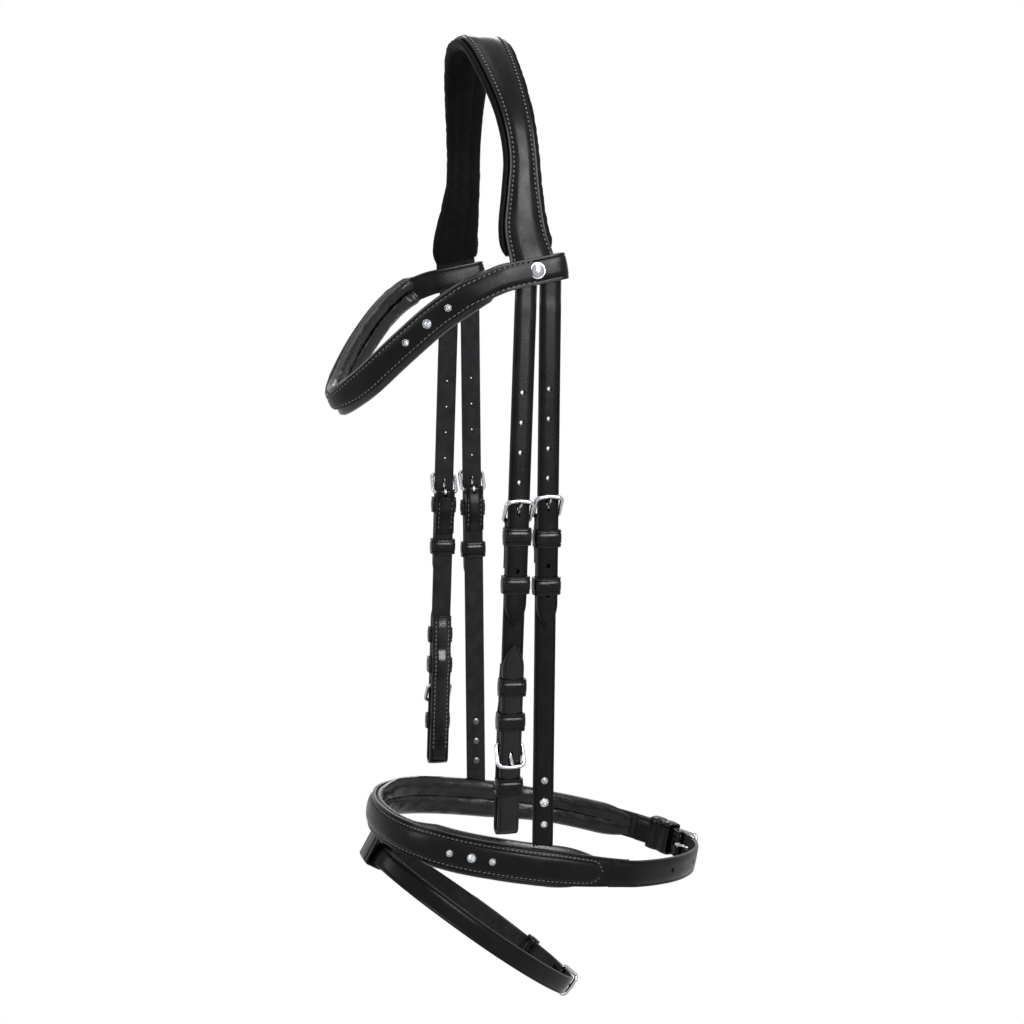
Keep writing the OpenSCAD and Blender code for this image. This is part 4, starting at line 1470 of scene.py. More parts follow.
@dataclass
class Crown:
    """The headpiece: leather cut wide behind the ears, with a stuffed lining that stands out as piping."""

    pattern: Pattern
    thick: float = 2.8
    low_z: float = -155.0
    lining_low_z: float = -137.4
    climb: float = 0.2  # both ends are cut along the browband's loops, which climb to the rear
    arch: tuple[tuple[float, float], ...] = (
        (0, 0), (0.26, 0.035), (0.53, 0.175), (0.715, 0.335), (0.81, 0.54), (0.905, 0.69), (0.985, 0.80),
        (1, 0.90), (1, 1),
    )
    fore: tuple[tuple[float, float], ...] = (
        (0.02, -36), (-0.12, -30), (-0.26, -24.5), (-0.42, -21.5), (-0.54, -24), (-0.68, -28.5), (-0.79, -27),
        (-0.9, -25.5), (-1, -25.2),
    )
    aft: tuple[tuple[float, float], ...] = (
        (0.02, -8), (-0.12, -6.5), (-0.26, -5), (-0.42, -3.6), (-0.54, -3), (-0.68, -1.5), (-0.79, 2.5),
        (-0.9, 5), (-1, 6),
    )

    def edge_y(self, rows: Sequence[tuple[float, float]], z: float) -> float:
        """Where an edge of the leather runs at a height."""
        points = curve_through([Vector((y, 0, share * self.pattern.crown_drop)) for share, y in rows], 6)
        return float(np.interp(-z, [-p.z for p in points], [p.x for p in points]))

    def arch_line(self) -> list[Vector]:
        """The arch from the near side over the poll to the far side."""
        p = self.pattern
        top = p.cheek_x - self.thick / 2
        half = [Vector((a * top, 0, p.lining_t - b * (p.crown_drop + p.lining_t))) for a, b in self.arch]
        mirrored = [Vector((-v.x, 0, v.z)) for v in half[1:]]
        return spaced(curve_through(list(reversed(half)) + mirrored, 8), 3.0)

    def stations(self, low_z: float, offset: float, grow: float, thick: float, round_end: float = 0.0) -> list[Station]:
        """Stands cross-sections over the arch.

        Args:
            low_z: Height at which the piece ends on both sides.
            offset: Distance of the section's middle outward from the arch.
            grow: Width by which it passes the leather's edges.
            thick: Thickness.
            round_end: Length of a rounded end.

        Returns:
            Stations from the near side to the far side.
        """
        line = [q for q in self.arch_line() if q.z >= low_z]
        rows = stand(line, Vector((0, 1, 0)), 10.0, thick)
        along = lengths(line)
        for s, here in zip(rows, along):
            fore, aft = self.edge_y(self.fore, s.centre.z) - grow, self.edge_y(self.aft, s.centre.z) + grow
            away = min(here, along[-1] - here)
            half = (aft - fore) / 2
            if round_end and away < round_end:
                half *= math.sqrt(1 - (1 - away / round_end) ** 2 * 0.25)
            s.centre = s.centre + s.out * offset + Vector((0, (fore + aft) / 2, 0))
            s.half = half
            lean = self.climb * max(0.0, 1 - away / 26)
            s.wide = (s.wide + Vector((0, 0, lean))).normalized()
        return rows

    def build(self) -> None:
        """Builds the leather, its seams and the lining."""
        section = LeatherSection(crease=0.0, seam=2.7, seam_depth=0.5, crown=0.7, edge_round=0.9)
        rows = self.stations(self.low_z, self.thick / 2, 0.0, self.thick)
        skin = loft(rows, lambda s, _: section.ring(s.half, s.thick))
        place_piece(skin, "crown_top_leather", STRAP_FACES, "crown", ("crown_leather",))
        awl = Awl(pitch=3.1, thread=1.15, cover=0.68)
        seams = [awl.along_strap(rows, lambda s, k=k: k * (s.half - 2.7), lift=-0.1) for k in (-1, 1)]
        place_piece(join(seams), "crown_stitching", (THREAD,), "crown")
        self.build_lining()

    def build_lining(self) -> None:
        """Stuffs the lining and its piped rims."""
        p = self.pattern
        rows = self.stations(self.lining_low_z, -0.1, p.piping, 1.0, round_end=9.0)
        last = len(rows) - 1

        def puff(i: int) -> float:
            away = min(i, last - i) * 3.0
            return 0.12 + 0.88 * min(1.0, away / 15)

        section = RollSection(rolls=3, shallow=2.4, deep=6.2, rim=2.2, columns=36, channel=0.72)
        lining(
            rows, CrownSection(section, p.piping), puff, "crown_lining", CROWN_LINING, "crown", "crown_padding",
            Cloth(pressure=3.0, slack=0.01, cap_mm=0.4), wrinkle=0.22,
        )


@dataclass(frozen=True)
class CrownSection:
    """The crown lining's section: rolls below and a round piping that rises beside the leather's edges."""

    under: RollSection
    piping: float

    def ring(self, half: float, puff: float = 1.0) -> list[SectionPoint]:
        """Goes once round the section, with the piping's rise added at both rims."""
        flat = half - self.piping - 0.4
        rim = self.piping + 0.4
        rise = [(flat + rim * (0.25 + 0.75 * math.sin(a)), 1.25 * math.cos(a) - 0.35) for a in (0.5, 0.85, 1.2, 1.55)]
        points: list[SectionPoint] = [(-x, y, 0.0, Face.GRAIN) for x, y in reversed(rise)]
        points += [(flat * k, -0.15, 0.0, Face.GRAIN) for k in (-1, -0.5, 0, 0.5, 1)]
        points += [(x, y, 0.0, Face.GRAIN) for x, y in rise]
        points += self.under.ring(half, puff)[7:]
        return points

    def seam_columns(self) -> list[int]:
        """Columns of the ring that a seam or the strap holds."""
        return list(range(3, 10)) + [c + 6 for c in self.under.seam_columns() if c >= 7]


# ---------------------------------------------------------------- browband


@dataclass
class Browband:
    """The V-shaped browband: a strap that folds round the crown at both ends, with two stuffed rolls behind."""

    pattern: Pattern
    tall: float = 17.0
    thick: float = 2.6
    roll_deep: float = 7.0
    rise: float = 0.2  # the end loops climb towards the rear
    shape: tuple[tuple[float, float, float], ...] = (
        (0.975, 0, 0), (0.983, 0.08, 0.03), (0.965, 0.24, 0.135), (0.82, 0.44, 0.31), (0.61, 0.67, 0.58),
        (0.34, 0.87, 0.85), (0, 1, 1),
    )

    @property
    def height(self) -> float:
        """Height of the end loops' middle."""
        return -0.845 * self.pattern.crown_drop

    def arms(self) -> tuple[list[Vector], list[Vector]]:
        """The frame's own line from the near loop round the tip to the far loop.

        Returns:
            Its points and the width direction at each.
        """
        start_y = -11.0 - 17.9 - 2.2 - 3.4
        wide = self.pattern.cheek_x - 0.4 + 3.6 + 2.5
        p = self.pattern
        near = [Vector((a * wide, start_y - b * p.brow_reach, self.height - c * p.brow_drop)) for a, b, c in self.shape]
        far = [Vector((-v.x, v.y, v.z)) for v in reversed(near[:-1])]
        line = curve_through(near + far, 5)
        last = len(line) - 1
        ups = [Vector((0, -0.45 * min(1.0, min(i, last - i) / 8), 0.9)) for i in range(len(line))]
        return line, ups

    def strap_line(self) -> tuple[list[Vector], list[Vector]]:
        """Middle of the leather with the folds round the crown at both ends.

        Returns:
            Its points and the width direction at each.
        """
        line, ups = self.arms()
        rows = stand(line, lambda i: ups[i], 1.0, 1.0)
        middle = [s.centre + s.out * self.thick / 2 for s in rows]
        z = self.height
        fold = [
            (91.2, -49), (89.2, -40), (86.6, -30.5), (85.5, -23), (85.0, -12), (85.0, 0), (85.4, 5.2), (87.3, 7.7),
            (90.6, 8.6), (93.3, 7.7), (95.0, 5.0), (95.6, -2), (95.8, -13), (95.9, -25), (96.0, -36),
        ]
        loop = [Vector((x, y, z + (y + 30.5) * self.rise * (1.9 if y < -30.5 else 1.0))) for x, y in fold]
        flat = Vector((0, -self.rise, 1)).normalized()
        keep = middle[10:-10:2]
        points = loop + keep + [Vector((-v.x, v.y, v.z)) for v in reversed(loop)]
        turns = [flat] * len(loop) + ups[10:-10:2] + [flat] * len(loop)
        smooth = curve_through(points, 4)
        widths = [turns[min(i // 4, len(turns) - 1)].lerp(turns[min(i // 4 + 1, len(turns) - 1)], (i % 4) / 4) for i in range(len(smooth))]
        return smooth, widths

    def build(self) -> None:
        """Builds the strap, its seams, the rolls, stones and studs."""
        line, ups = self.strap_line()
        along = lengths(line)
        total = along[-1]
        middle = total / 2
        section = LeatherSection(crease=0.0, seam=2.2, seam_depth=0.35, crown=0.5, edge_round=0.8)

        def thick(i: int) -> float:
            away = min(along[i], total - along[i])
            return self.thick * (0.55 + 0.45 * min(1.0, away / 14))

        def half(i: int) -> float:
            near_tip = max(0.0, 1 - abs(along[i] - middle) / 34)
            return self.tall / 2 - 3.0 * near_tip

        rows = stand(line, lambda i: ups[i], half, thick)
        skin = loft(rows, lambda s, _: section.ring(s.half, s.thick))
        for v in skin.verts:
            gather = max(0.0, 1 - abs(v.co.x) / 16)
            if v.co.y < -100 and gather:
                v.co += v.co.normalized() * 0.8 * gather * drape_noise(v.co, 3.8, 5.0)
        place_piece(
            skin, "browband_strap", STRAP_FACES, "browband",
            ("browband_leather", "near_browband_loop", "far_browband_loop"),
        )
        sewn = [s for s in rows if 86 < s.along < total - 86]
        awl = Awl(pitch=3.5, thread=0.9)
        seams = [awl.along_strap(sewn, lambda s, k=k: k * (s.half - 2.2), lift=-0.12) for k in (-1, 1)]
        place_piece(join(seams), "browband_stitching", (THREAD,), "browband")
        self.build_rolls()
        lean = (
            Matrix.Translation((0, -32, self.height))
            @ Matrix.Rotation(math.atan(self.rise), 4, "X")
            @ Matrix.Translation((0, 32, -self.height))
        )
        stones = StoneWork(Vector((0, -11, self.height)), lean)
        stones.cups("browband_settings", "browband_cups", "browband")
        stones.stones("browband_stones", "browband_crystals", "browband")
        stones.studs("browband_studs", "browband_plain_studs", "browband")

    def build_rolls(self) -> None:
        """Stuffs the two rolls behind the strap; the lower one shows below it."""
        line, ups = self.arms()
        inner = line[4:-4]
        turns = ups[4:-4]
        fine = curve_through(inner, 3)
        widths = [turns[min(i // 3, len(turns) - 1)] for i in range(len(fine))]
        last = len(fine) - 1

        def half(i: int) -> float:
            away = min(i, last - i)
            return (self.tall / 2 + 2.0) * (0.72 + 0.28 * min(1.0, away / 9))

        rows = stand(fine, lambda i: widths[i], half, 1.0)
        for s in rows:
            s.centre = s.centre - s.wide * 1.3

        def puff(i: int) -> float:
            return 0.25 + 0.75 * min(1.0, min(i, last - i) / 8)

        section = RollSection(rolls=2, shallow=2.0, deep=self.roll_deep + 0.4, rim=1.4, columns=28, channel=0.45)
        lining(
            rows, section, puff, "browband_rolls", ROLL_LINING, "browband", "browband_padding",
            Cloth(pressure=3.5, slack=0.015, cap_mm=0.5), wrinkle=0.4,
        )


# ---------------------------------------------------------------- straps with buckles


@dataclass
class BuckledStrap:
    """What a cheek strap and a hanger share: a billet from the crown, a buckle, a tongue and two keepers."""

    pattern: Pattern
    hand: Hand

    def name(self, rest: str) -> str:
        """Puts the side before a name."""
        return f"{self.hand.word}_{rest}"

    def bend_from_crown(self, piece: bpy.types.Object, body: str, y: float) -> None:
        """Bakes the billet's place into its mesh; the billet is not bent."""
        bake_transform(piece)

    def billet(self, place: Matrix, kind: str, heel: float, tail: float, holes: Sequence[int], y: float) -> None:
        """Builds a punched, pointed billet.

        Args:
            place: Matrix of the strap's frame.
            kind: "cheek" or "hanger".
            heel: Distance of the heel bar below the crown's end.
            tail: Length of the billet past it.
            holes: Numbers of the punched holes, 0 being the one in use.
            y: Where the billet leaves the crown.
        """
        p = self.pattern
        lay = LAYERS
        strap = FlatStrap(
            p.strap_w,
            [StrapPoint(0, -(heel + tail), 1.9), StrapPoint(0, -(heel + tail) + 9, lay.strap),
             StrapPoint(0, 11, lay.strap), StrapPoint(0, 17, 1.5), StrapPoint(0, 31, 1.5)],
            tip_start=p.strap_w * 1.05,
        )
        used = -(heel - 6.3)
        cutters = [awl_hole(used - k * 19.0, flesh=0.62 if self.hand is Hand.NEAR else 0.1) for k in holes]
        cutters.append(slot_punch(-heel + 3.6, -heel + 9.6, 1.3))
        bm = moved(punch(strap.mesh(), cutters), place)
        piece = place_piece(bm, self.name(f"{kind}_billet_strap"), STRAP_FACES, None,
                            (self.name(f"{kind}_billet"),))
        self.bend_from_crown(piece, self.name(kind), y)

    def hardware(self, place: Matrix, heel_z: float, flip: bool, node: str, body: str) -> None:
        """Hangs a buckle and its tongue on a heel bar.

        Args:
            place: Matrix of the strap's frame.
            heel_z: Height of the heel bar.
            flip: True where the end bar is below the heel bar.
            node: Start of the nodes' names, such as "cheek".
            body: Body that carries the buckle.
        """
        turn = Matrix.Diagonal((1, 1, -1 if flip else 1, 1))
        seat = place @ Matrix.Translation((0, 0, heel_z)) @ turn
        place_piece(
            moved(buckle_frame(self.pattern.strap_w), seat), self.name(f"{node}_buckle_frame"), (CHROME,), body,
            (self.name(f"{node}_buckle"),), crisp=60,
        )
        place_piece(
            moved(buckle_tongue(), seat), self.name(f"{node}_tongue_pin"), (CHROME,), self.name(f"{node}_tongue"),
            (self.name(f"{node}_tongue"),), crisp=60,
        )

    def loops(self, place: Matrix, heel: float, kind: str, lower: float = 0.0) -> None:
        """Puts the fixed keeper and the running keeper under a buckle."""
        lay = LAYERS
        w = self.pattern.strap_w
        fixed = keeper(w, lay.core_n - lay.strap / 2, lay.strap / 2, gap=0.25, inner=0.55)
        seat = place @ Matrix.Translation((0, 0, -(heel + lower + 9.3)))
        faces = LOOP_FACES
        place_piece(moved(fixed, seat), self.name(f"{kind}_fixed_keeper"), faces,
                    self.name(kind), (self.name(f"{kind}_keeper"),))
        runner = keeper(w, lay.core_n - lay.strap / 2, lay.strap / 2)
        seat = place @ Matrix.Translation((0, 0, -(heel + lower + 40.5)))
        place_piece(moved(runner, seat), self.name(f"{kind}_running_keeper"), faces,
                    self.name(f"{kind}_runner"), (self.name(f"{kind}_runner"),))

    def chape_seams(self, stations: Sequence[Station], place: Matrix, ends: Sequence[tuple[float, float]]) -> bmesh.types.BMesh:
        """Sews the turned-back ends on the side that faces the horse."""
        rows: list[bmesh.types.BMesh] = []
        awl = Awl(pitch=3.3)
        for low, high in ends:
            part = [s for s in stations if low < s.centre.z < high and s.centre.x < LAYERS.heel_n - 0.6]
            if len(part) > 1:
                rows += [awl.along_strap(part, lambda s, k=k: k * (s.half - 2.3), lift=-0.1) for k in (-1, 1)]
        return moved(join(rows), place)


@dataclass
class CheekPiece(BuckledStrap):
    """One cheekpiece: billet, strap, and the doubled end that holds the bit."""

    def build(self) -> None:
        """Builds the whole cheekpiece."""
        p, lay = self.pattern, LAYERS
        place = p.cheek_place(self.hand)
        self.billet(place, "cheek", p.cheek_heel, 67.0, (-4, -3, -2, -1, 1, 2), p.cheek_y)
        self.hardware(place, -p.cheek_heel, False, "cheek", self.name("cheek"))
        self.hardware(place, -p.bit_heel, True, "bit", self.name("cheek"))
        self.loops(place, p.cheek_heel, "cheek")
        self.strap(place)
        self.bit_end(place)
        backs = (
            (-(p.bit_heel - 38.2), lay.core_n - lay.strap / 2),
            (-(p.bit_heel - 15.5), lay.fold_n - lay.fold / 2),
            (-(p.bit_heel + 27.5), lay.core_n - lay.strap / 2),
        )
        loops = [
            moved(keeper(p.strap_w, back, lay.ply / 2, inner=0.55), place @ Matrix.Translation((0, 0, z)))
            for z, back in backs
        ]
        place_piece(join(loops), self.name("bit_loops"), LOOP_FACES, self.name("cheek"),
                    (self.name("bit_keepers"),))

    def strap(self, place: Matrix) -> None:
        """Builds the strap that turns round both heel bars."""
        p = self.pattern
        low = turned_end(-p.bit_heel, 20.0, top=False)
        high = turned_end(-p.cheek_heel, 30.5, top=True, over=9.3)
        strap = FlatStrap(p.strap_w, low + high, tip_start=8.0)
        cutters = [
            slot_punch(-p.cheek_heel - 3.3, -p.cheek_heel + 5, 1.4), slot_punch(-p.bit_heel - 5, -p.bit_heel + 3.3, 1.4)
        ]
        bm = moved(punch(strap.mesh(), cutters), place)
        place_piece(bm, self.name("cheek_strap_leather"), STRAP_FACES, self.name("cheek"),
                    (self.name("cheek_strap"),))
        seam = self.chape_seams(strap.stations(), place, ((-p.cheek_heel - 29.5, -p.cheek_heel - 5),))
        place_piece(seam, self.name("cheek_stitching"), (THREAD,), self.name("cheek"))

    def bit_end(self, place: Matrix) -> None:
        """Builds the ply that comes down inside, turns under and ends in a point outside."""
        p, lay = self.pattern, LAYERS
        r = -lay.ply_n / 2
        low = p.bit_end - r - lay.ply / 2
        points = [
            StrapPoint(lay.near_core_n, -(p.bit_heel - 53), 1.6),
            StrapPoint(lay.near_core_n, -(p.bit_heel - 49.5), 2.2),
        ]
        near, ply = lay.near_core_n, lay.ply_n
        course = (  # place across the plies, height above the heel bar
            (near - 0.8, 44.5), (near - 1.05, 38.2), (near - 0.8, 32), (near - 0.5, 28), (ply + 0.2, 23.5),
            (ply - 0.9, 19.5), (ply - 1.05, 15.5), (ply - 0.9, 11.5), (ply + 0.1, 6.5), (ply, -4), (ply - 0.25, -27.5),
        )
        points += [StrapPoint(n, -(p.bit_heel - up), lay.ply) for n, up in course]
        points += [StrapPoint(ply, -low + 1, lay.ply)]
        points += [
            StrapPoint(lay.ply_n / 2 - r * math.cos(a), -low - r * math.sin(a), lay.ply)
            for a in (math.radians(v) for v in range(0, 181, 12))
        ]
        points += [StrapPoint(0, -low + 1, lay.ply), StrapPoint(0, -(p.bit_heel - 66) - 9, lay.ply),
                   StrapPoint(0, -(p.bit_heel - 66), 1.8)]
        strap = FlatStrap(p.strap_w, points, tip_end=p.strap_w * 1.05)
        cut = slot_punch(-p.bit_heel - 10.2, -p.bit_heel - 3.6, 1.3)
        for v in cut.verts:
            v.co.x = 0.0 + (12 if v.co.x > 0 else -2.4)
        bm = moved(punch(strap.mesh(), [cut]), place)
        place_piece(bm, self.name("bit_ply"), (GLAZED, FLESH, EDGE), self.name("cheek"),
                    (self.name("bit_billet"),))
        inside = [s for s in strap.stations() if s.centre.x < lay.near_core_n + 0.3 and -low + 4 < s.centre.z < -(p.bit_heel - 50)]
        awl = Awl(pitch=3.2, thread=1.15)
        rows = [awl.along_strap(inside, lambda s, k=k: k * (s.half - 2.4), lift=-0.1) for k in (-1, 1)]
        place_piece(moved(join(rows), place), self.name("bit_stitching"), (THREAD,), self.name("cheek"))


@dataclass
class Hanger(BuckledStrap):
    """One strap that hangs the noseband: billet, strap with three stones, sewn into the noseband's top."""

    def build(self) -> None:
        """Builds the whole hanger."""
        p = self.pattern
        place = p.hanger_place(self.hand)
        body = self.name("hanger")
        self.billet(place, "hanger", p.hanger_heel, 72.0, (-4, -3, -2, -1, 1, 2, 3), p.hanger_y)
        self.hardware(place, -p.hanger_heel, False, "hanger", body)
        self.loops(place, p.hanger_heel, "hanger", lower=4.5)
        core_n = LAYERS.core_n
        points = [StrapPoint(core_n, -(p.hanger_end + 1.5), 1.2), StrapPoint(core_n, -(p.hanger_end - 8), LAYERS.strap)]
        points += turned_end(-p.hanger_heel, 30.5, top=True, over=13.8)
        strap = FlatStrap(p.strap_w, points)
        cutters = [slot_punch(-p.hanger_heel - 3.3, -p.hanger_heel + 5, 1.4)]
        bm = moved(punch(strap.mesh(), cutters), place)
        fixed = None if self.hand is Hand.NEAR else body
        piece = place_piece(bm, self.name("hanger_strap_leather"), STRAP_FACES, fixed,
                            (self.name("hanger_strap"),))
        if self.hand is Hand.NEAR:
            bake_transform(piece)
        seam = self.chape_seams(strap.stations(), place, ((-p.hanger_heel - 29.5, -p.hanger_heel - 5),))
        place_piece(seam, self.name("hanger_stitching"), (THREAD,), body)
        stones = StoneWork(Vector((0, p.hanger_y, -490)))
        stones.cups(self.name("hanger_settings"), self.name("hanger_cups"), body)
        stones.stones(self.name("hanger_stones"), self.name("hanger_crystals"), body)


# ---------------------------------------------------------------- noseband and flash


@dataclass
class Noseband:
    """The noseband: strap, raised padded front, stuffed rolls inside, and the chin strap with its buckle."""

    pattern: Pattern
    steps: int = 6
    shape: tuple[tuple[float, float], ...] = (
        (1, 0.14), (0.955, -0.26), (0.80, -0.64), (0.47, -0.91), (0, -1), (-0.47, -0.91), (-0.80, -0.64),
        (-0.955, -0.26), (-1, 0.14), (-0.94, 0.44), (-0.71, 0.72), (-0.42, 0.91), (-0.17, 0.985),
        (0.17, 0.985), (0.42, 0.91), (0.71, 0.72), (0.94, 0.44),
    )

    def loop(self) -> list[Vector]:
        """The noseband's own closed line, near side, front, far side, rear."""
        p = self.pattern
        points = [Vector((a * p.nose_x, b * (p.nose_front if b < 0 else p.nose_rear), 0)) for a, b in self.shape]
        return curve_through(points, self.steps, closed=True)

    def part(self, first: int, last: int, fine: int = 2) -> list[Vector]:
        """Returns the points from one index to another, with more between them."""
        line = self.loop()
        rows = [line[i % len(line)] for i in range(first, last + 1)]
        return curve_through(rows, fine)

    def half_height(self, y: float) -> float:
        """Half of the strap's height at a distance from the hangers."""
        p = self.pattern
        share = 0.0 if y < 10 else 1.0 if y > 60 else (y - 10) / 50
        front = min(1.0, max(0.0, (-y - p.nose_front * 0.7) / (p.nose_front * 0.25)))
        return (p.nose_h + (p.nose_rear_h - p.nose_h) * share) / 2 - front

    def offset(self, points: Sequence[Vector], out: float) -> list[Vector]:
        """Moves a line outward."""
        return [s.centre + s.out * out for s in stand(points, Vector((0, 0, 1)), 1.0, 1.0)]

    @property
    def chin(self) -> Matrix:
        """Matrix from the chin buckle's frame to the row's."""
        p = self.pattern
        y = 0.992 * p.nose_rear - LAYERS.strap / 2 - LAYERS.core_n
        turn = Matrix(((0, 0, 1, 0), (1, 0, 0, 0), (0, 1, 0, 0), (0, 0, 0, 1)))
        return p.nose_place() @ Matrix.Translation((-0.07 * p.nose_x, y, 0)) @ turn

    def build(self) -> None:
        """Builds the noseband and everything sewn to it."""
        self.strap()
        self.raised_front()
        self.rolls()
        self.chin_strap()
        stones = StoneWork(Vector((0, 10, self.pattern.root_z - self.pattern.hanger_end)))
        stones.cups("noseband_settings", "noseband_cups", "noseband")
        stones.stones("noseband_stones", "noseband_crystals", "noseband")

    def strap(self) -> None:
        """Builds the strap from its near end round the front to the chin buckle on the far side."""
        p, lay = self.pattern, LAYERS
        place = p.nose_place()
        line = self.offset(self.part(-6, 12 * self.steps - 1), -lay.strap / 2)
        chin_local = place.inverted() @ self.chin
        heel = chin_local @ Vector((lay.heel_n, 0, 0))
        lap = lay.wire + 0.57
        thin_at = len(line)
        line += [heel + Vector((-5.0, lay.core_n - lay.heel_n + 0.3, 0)), heel + Vector((-2.2, lap - 0.1, 0))]
        line += [heel + Vector((lap * math.sin(a), lap * math.cos(a), 0)) for a in (math.radians(v) for v in range(0, 181, 20))]
        line += [heel + Vector((-2.6, -lap, 0)), heel + Vector((-8, lay.fold_n - lay.heel_n - 0.3, 0))]
        back = self.offset(self.part(12 * self.steps - 8, 12 * self.steps - 4), -lay.strap - lay.gap - lay.fold / 2)
        line += list(reversed(back))
        count = len(line)

        def half(i: int) -> float:
            return (p.nose_rear_h / 2 - 0.3) if i >= thin_at else self.half_height(line[i].y)

        def thick(i: int) -> float:
            if i < thin_at - 2:
                return lay.strap
            return 1.1 if i < count - 6 else lay.fold * 0.8

        rows = stand(line, Vector((0, 0, 1)), half, thick)
        for i, s in enumerate(rows[:16]):
            s.half -= 0.5 * (1 - i / 16)
        section = LeatherSection(crease=1.9, seam=0.0, crown=0.2)
        skin = loft(rows, lambda s, _: section.ring(s.half, s.thick))
        slot = slot_punch(-4.5, 5.0, 1.9)
        skin = punch(skin, [moved(slot, chin_local)])
        place_piece(moved(skin, place), "noseband_strap", STRAP_FACES, "noseband", ("noseband_leather",))

    def raised_front(self) -> None:
        """Builds the raised front, rounded at both ends, and the seam round it."""
        p = self.pattern
        place = p.nose_place()
        line = self.part(-3, 8 * self.steps + 1, 3)
        along = lengths(line)
        total = along[-1]

        def half(i: int) -> float:
            away = min(along[i], total - along[i])
            full = self.half_height(line[i].y) - 4.1
            return full * max(0.12, math.sqrt(1 - (1 - min(1.0, away / 9)) ** 2))

        rows = stand(line, Vector((0, 0, 1)), half, 2.4)

        def ring(s: Station, _: int) -> list[SectionPoint]:
            turn = [math.pi * k / 14 for k in range(15)]
            top = [(-s.half * math.cos(a), 0.15 + 2.25 * math.sin(a) ** 0.62, 0.0, Face.GRAIN) for a in turn]
            return top + [(s.half * k, -0.3, 0.0, Face.EDGE) for k in (0.8, 0, -0.8)]

        skin = loft(rows, ring)
        for v in skin.verts:
            v.co += Vector((v.co.x, v.co.y, 0)).normalized() * 0.13 * drape_noise(v.co, 11.0, 2.0)
        place_piece(moved(skin, place), "noseband_raised_front", STRAP_FACES, "noseband",
                    ("noseband_overlay",), crisp=70)
        awl = Awl(pitch=3.1, thread=0.95)
        upper = [s.centre + s.wide * (s.half + 0.9) for s in rows]
        lower = [s.centre - s.wide * (s.half + 0.9) for s in rows]
        outs = [s.out for s in rows]
        first = rows[0].centre - (rows[1].centre - rows[0].centre).normalized() * 1.2
        last = rows[-1].centre + (rows[-1].centre - rows[-2].centre).normalized() * 1.2
        ring_line = [first] + upper + [last] + list(reversed(lower)) + [first]
        ring_outs = [outs[0]] + outs + [outs[-1]] + list(reversed(outs)) + [outs[0]]
        seam = awl.row(ring_line, ring_outs, lift=0.1)
        place_piece(moved(seam, place), "noseband_stitching", (THREAD,), "noseband")

    def rolls(self) -> None:
        """Stuffs the two rolls that lie on the horse's nose."""
        p = self.pattern
        line = self.offset(self.part(-3, 10 * self.steps + 3, 2), -LAYERS.strap - 0.2)
        last = len(line) - 1

        def half(i: int) -> float:
            y = line[i].y
            front = min(1.0, max(0.0, (-y - p.nose_front * 0.72) / (p.nose_front * 0.12)))
            grown = self.half_height(y) + 2.4 - 2.2 * front
            return grown * (0.6 + 0.4 * math.sin(0.5 * math.pi * min(1.0, min(i, last - i) / 8)))

        rows = stand(line, Vector((0, 0, 1)), half, 1.0)
        place = p.nose_place()
        turn = place.to_3x3()
        for s in rows:
            s.centre, s.wide, s.out = place @ s.centre, turn @ s.wide, turn @ s.out

        def puff(i: int) -> float:
            return 0.15 + 0.85 * math.sin(0.5 * math.pi * min(1.0, min(i, last - i) / 10))

        section = RollSection(rolls=2, shallow=1.8, deep=6.3, rim=1.0, columns=28, channel=0.55)
        lining(
            rows, section, puff, "noseband_rolls", ROLL_LINING, "noseband", "noseband_padding",
            Cloth(pressure=3.5, slack=0.015, cap_mm=0.5), wrinkle=0.4,
        )

    def keeper_at(self, index: int) -> Matrix:
        """Matrix of a keeper on the chin strap."""
        line = self.loop()
        run = (line[index + 1] - line[index - 1]).normalized()
        wide = Vector((0, 0, 1))
        out = wide.cross(run)
        turn = Matrix((out, wide, run)).transposed().to_4x4()
        return self.pattern.nose_place() @ Matrix.Translation(line[index]) @ turn

    def chin_strap(self) -> None:
        """Builds the chin strap with its holes, buckle, tongue and two keepers."""
        p, lay = self.pattern, LAYERS
        place = p.nose_place()
        n = self.steps
        line = self.part(11 * n - 2, 17 * n - 4)
        along = lengths(line)
        total = along[-1]

        def half(i: int) -> float:
            full = self.half_height(line[i].y) - 0.4
            return full * max(0.1, math.sqrt(1 - (1 - along[i] / 11) ** 2)) if along[i] < 11 else full

        def thick(i: int) -> float:
            return lay.strap * (0.04 + 0.96 * min(1.0, max(0.0, (total - along[i] - 3) / 16)))

